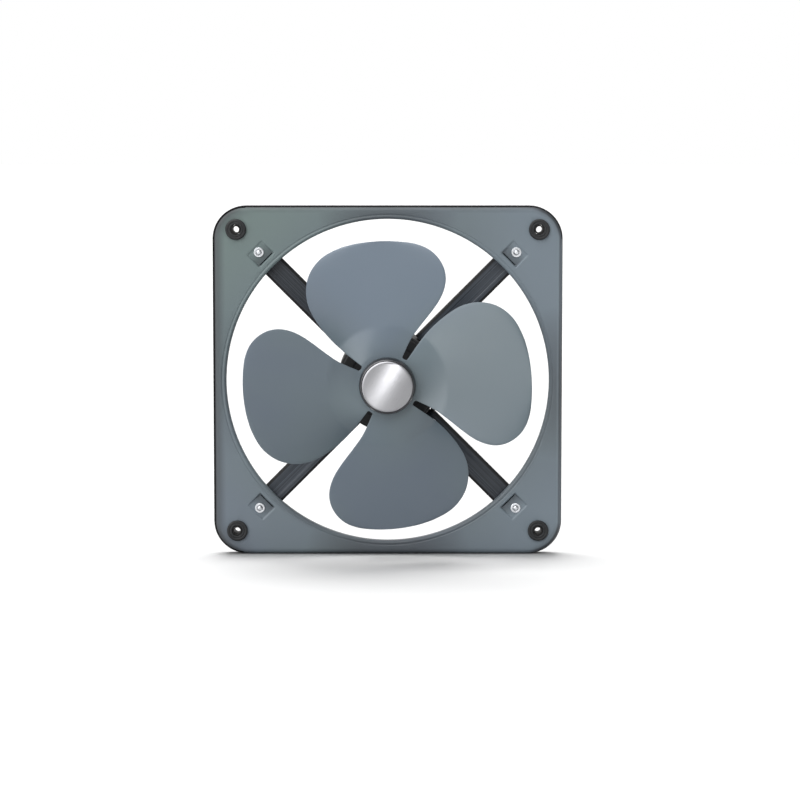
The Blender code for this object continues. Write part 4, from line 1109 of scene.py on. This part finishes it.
def make_hub():
    disc_front, disc_back = WHEEL_Y - SHEET / 2, WHEEL_Y + SHEET / 2
    flange_front, flange_back = disc_back + 0.0001, disc_back + 0.0038
    hub = [
        (0.0105, -0.0580), (0.0120, -0.0595), (0.0120, flange_back + 0.003), (0.0150, flange_back),
        (0.0240, flange_back), (0.0240, flange_front), (BORE_R, flange_front), (BORE_R, -0.0580),
    ]
    hub = fillet(hub, {0: 0.0004, 1: 0.0004, 2: 0.002, 3: 0.002, 4: 0.0006, 5: 0.0004}, 4, True)
    lathe("hub_casting", hub, CAST, "impeller", ["impeller_hub"], 72)
    for i in range(4):
        spot = on_circle(90 * i + 45, 0.0185)
        rivet = [
            (0.0, flange_back + 0.0017), (0.0020, flange_back + 0.0014), (0.0032, flange_back),
            (0.0, flange_back),
        ]
        bm = bmesh.new()
        add_lathe(bm, fillet(rivet, 0.0008, 4), 32, False, (spot.x, spot.z))
        front = [
            (0.0, disc_front), (0.0032, disc_front), (0.0020, disc_front - 0.0014),
            (0.0, disc_front - 0.0017),
        ]
        add_lathe(bm, fillet(front, 0.0008, 4), 32, False, (spot.x, spot.z))
        finish_mesh(f"rivet_{i + 1}", bm, STEEL, "impeller", [f"hub_rivet_{i + 1}"])
    shaft = [
        (0.0, -0.0955), (0.0042, -0.0955), (0.0050, -0.0947), (0.0050, -0.0355), (0.0070, -0.0350),
        (0.0070, 0.0410), (0.0050, 0.0412), (0.0050, 0.0509), (0.0, 0.0509),
    ]
    lathe("motor_shaft", fillet(shaft, 0.0002, 2), STEEL, "impeller", ["shaft"], 64, False)


def make_cap():
    """A barely domed, brushed face with a rolled edge, set in a flared skirt of dark metal that paints the
    shade and dark reflection round the cap's shoulder.
    """
    y = CAP_FRONT_Y
    rim = WHEEL_Y - SHEET / 2 - 0.0002
    face_r = 0.0252
    face = [(0.0, y)]
    for k in range(1, 17):
        r = face_r * k / 16
        face.append((r, y + 0.0012 * (r / face_r) ** 2))
    face += [
        (0.0256, y + 0.00135), (0.0260, y + 0.00165), (0.0263, y + 0.0021), (0.0264, y + 0.0027),
        (0.0264, y + 0.0040), (0.0240, y + 0.0040), (0.0, y + 0.0034),
    ]
    bm = bmesh.new()
    add_lathe(bm, face, 160, False)
    bm.verts.ensure_lookup_table()
    grain = bm.loops.layers.uv.new("grain")
    turn = radians(CAP_GRAIN)
    for f in bm.faces:
        for loop in f.loops:
            x, z = loop.vert.co.x, loop.vert.co.z
            loop[grain].uv = (20 * (x * cos(turn) + z * sin(turn)), 20 * (z * cos(turn) - x * sin(turn)))
    finish_mesh("cap_face", bm, CAP_METAL, "impeller", ["hub_cap"], sharp=50)
    skirt = [
        (0.0266, y + 0.0034), (0.0271, y + 0.0030), (0.0278, y + 0.0034), (0.0285, y + 0.0052),
        (0.0290, y + 0.0084), (0.0293, rim - 0.0016), (CAP_R, rim - 0.0008), (CAP_R, rim),
        (CAP_R - 0.0012, rim), (0.0266, y + 0.0080),
    ]
    lathe("cap_skirt", fillet(skirt, 0.0003, 2, True), CAP_SKIRT, "impeller", (), 128)


make_wheel()
make_hub()
make_cap()


# ---- Floor and lights ----
def make_stage():
    low = cad_box[0].z
    bm = bmesh.new()
    bmesh.ops.create_grid(bm, x_segments=1, y_segments=1, size=1)
    bmesh.ops.scale(bm, vec=(60, 60, 1), verts=bm.verts)
    mesh = bpy.data.meshes.new("floor")
    bm.to_mesh(mesh)
    bm.free()
    floor = bpy.data.objects.new("floor", mesh)
    floor.location = (0, 0, low - 0.0005)
    bpy.context.scene.collection.objects.link(floor)
    m = Nodes("floor_white")
    m.shader.inputs["Base Color"].default_value = (0.86, 0.86, 0.86, 1)
    m.shader.inputs["Roughness"].default_value = 0.9
    m.specular(0.0)
    floor.data.materials.append(m.material)
    return floor


def area_light(name, location, target, size, power, roll=0.0):
    data = bpy.data.lights.new(name, "AREA")
    data.shape = "RECTANGLE"
    data.size, data.size_y = size
    data.energy = power
    light = bpy.data.objects.new(name, data)
    light.location = location
    aim = (Vector(target) - Vector(location)).to_track_quat("-Z", "Y")
    light.rotation_mode = "QUATERNION"
    light.rotation_quaternion = aim @ Matrix.Rotation(radians(roll), 3, "Z").to_quaternion()
    bpy.context.scene.collection.objects.link(light)
    return light


def sun(name, azimuth, elevation, strength, angle):
    """A broad, distant light. azimuth 0 is the camera's side, positive to the right."""
    data = bpy.data.lights.new(name, "SUN")
    data.energy = strength
    data.angle = radians(angle)
    light = bpy.data.objects.new(name, data)
    a, e = radians(azimuth), radians(elevation)
    towards = Vector((sin(a) * cos(e), -cos(a) * cos(e), sin(e)))
    light.rotation_mode = "QUATERNION"
    light.rotation_quaternion = towards.to_track_quat("Z", "Y")
    bpy.context.scene.collection.objects.link(light)
    return light


def only(name, obj, state="INCLUDE"):
    """A collection of one object, for a light's linking."""
    group = bpy.data.collections.new(name)
    group.objects.link(obj)
    group.collection_objects[0].light_linking.link_state = state
    return group


floor = make_stage()
key = sun("key", -44, 44, 3.85, 80)
sun("top", -165, 64, 2.7, 50)
strip = area_light("strip", (0.28, -4.6, 0.35), (0, -0.1, 0), (0.15, 2.4), 33.0, -28)
area_light("card", (-2.1, -4.0, 0.5), (0, -0.1, 0), (1.5, 1.5), 4.0)
key.light_linking.receiver_collection = only("off_floor", floor, "EXCLUDE")
key.light_linking.blocker_collection = only("see_through", bpy.data.objects["stamped_wheel"], "EXCLUDE")
strip.light_linking.receiver_collection = only("on_cap", bpy.data.objects["cap_face"])

world = bpy.data.worlds.new("studio")
bpy.context.scene.world = world
world.use_nodes = True
tree = world.node_tree
fill = tree.nodes["Background"]
fill.inputs["Color"].default_value = (1, 1, 1, 1)
sky = tree.nodes.new("ShaderNodeTexCoord")
lean = tree.nodes.new("ShaderNodeVectorMath")
lean.operation = "DOT_PRODUCT"
lean.inputs[1].default_value = (-0.04, 0.0, 0.20)
level = tree.nodes.new("ShaderNodeMath")
level.operation = "ADD"
level.inputs[1].default_value = 0.48
tree.links.new(sky.outputs["Generated"], lean.inputs[0])
tree.links.new(lean.outputs["Value"], level.inputs[0])
tree.links.new(level.outputs[0], fill.inputs["Strength"])
backdrop = tree.nodes.new("ShaderNodeBackground")
ray = tree.nodes.new("ShaderNodeLightPath")
either = tree.nodes.new("ShaderNodeMixShader")
tree.links.new(ray.outputs["Is Camera Ray"], either.inputs[0])
tree.links.new(fill.outputs[0], either.inputs[1])
tree.links.new(backdrop.outputs[0], either.inputs[2])
tree.links.new(either.outputs[0], tree.nodes["World Output"].inputs["Surface"])
backdrop.inputs["Color"].default_value = (1, 1, 1, 1)
bpy.context.scene.view_settings.view_transform = "Standard"
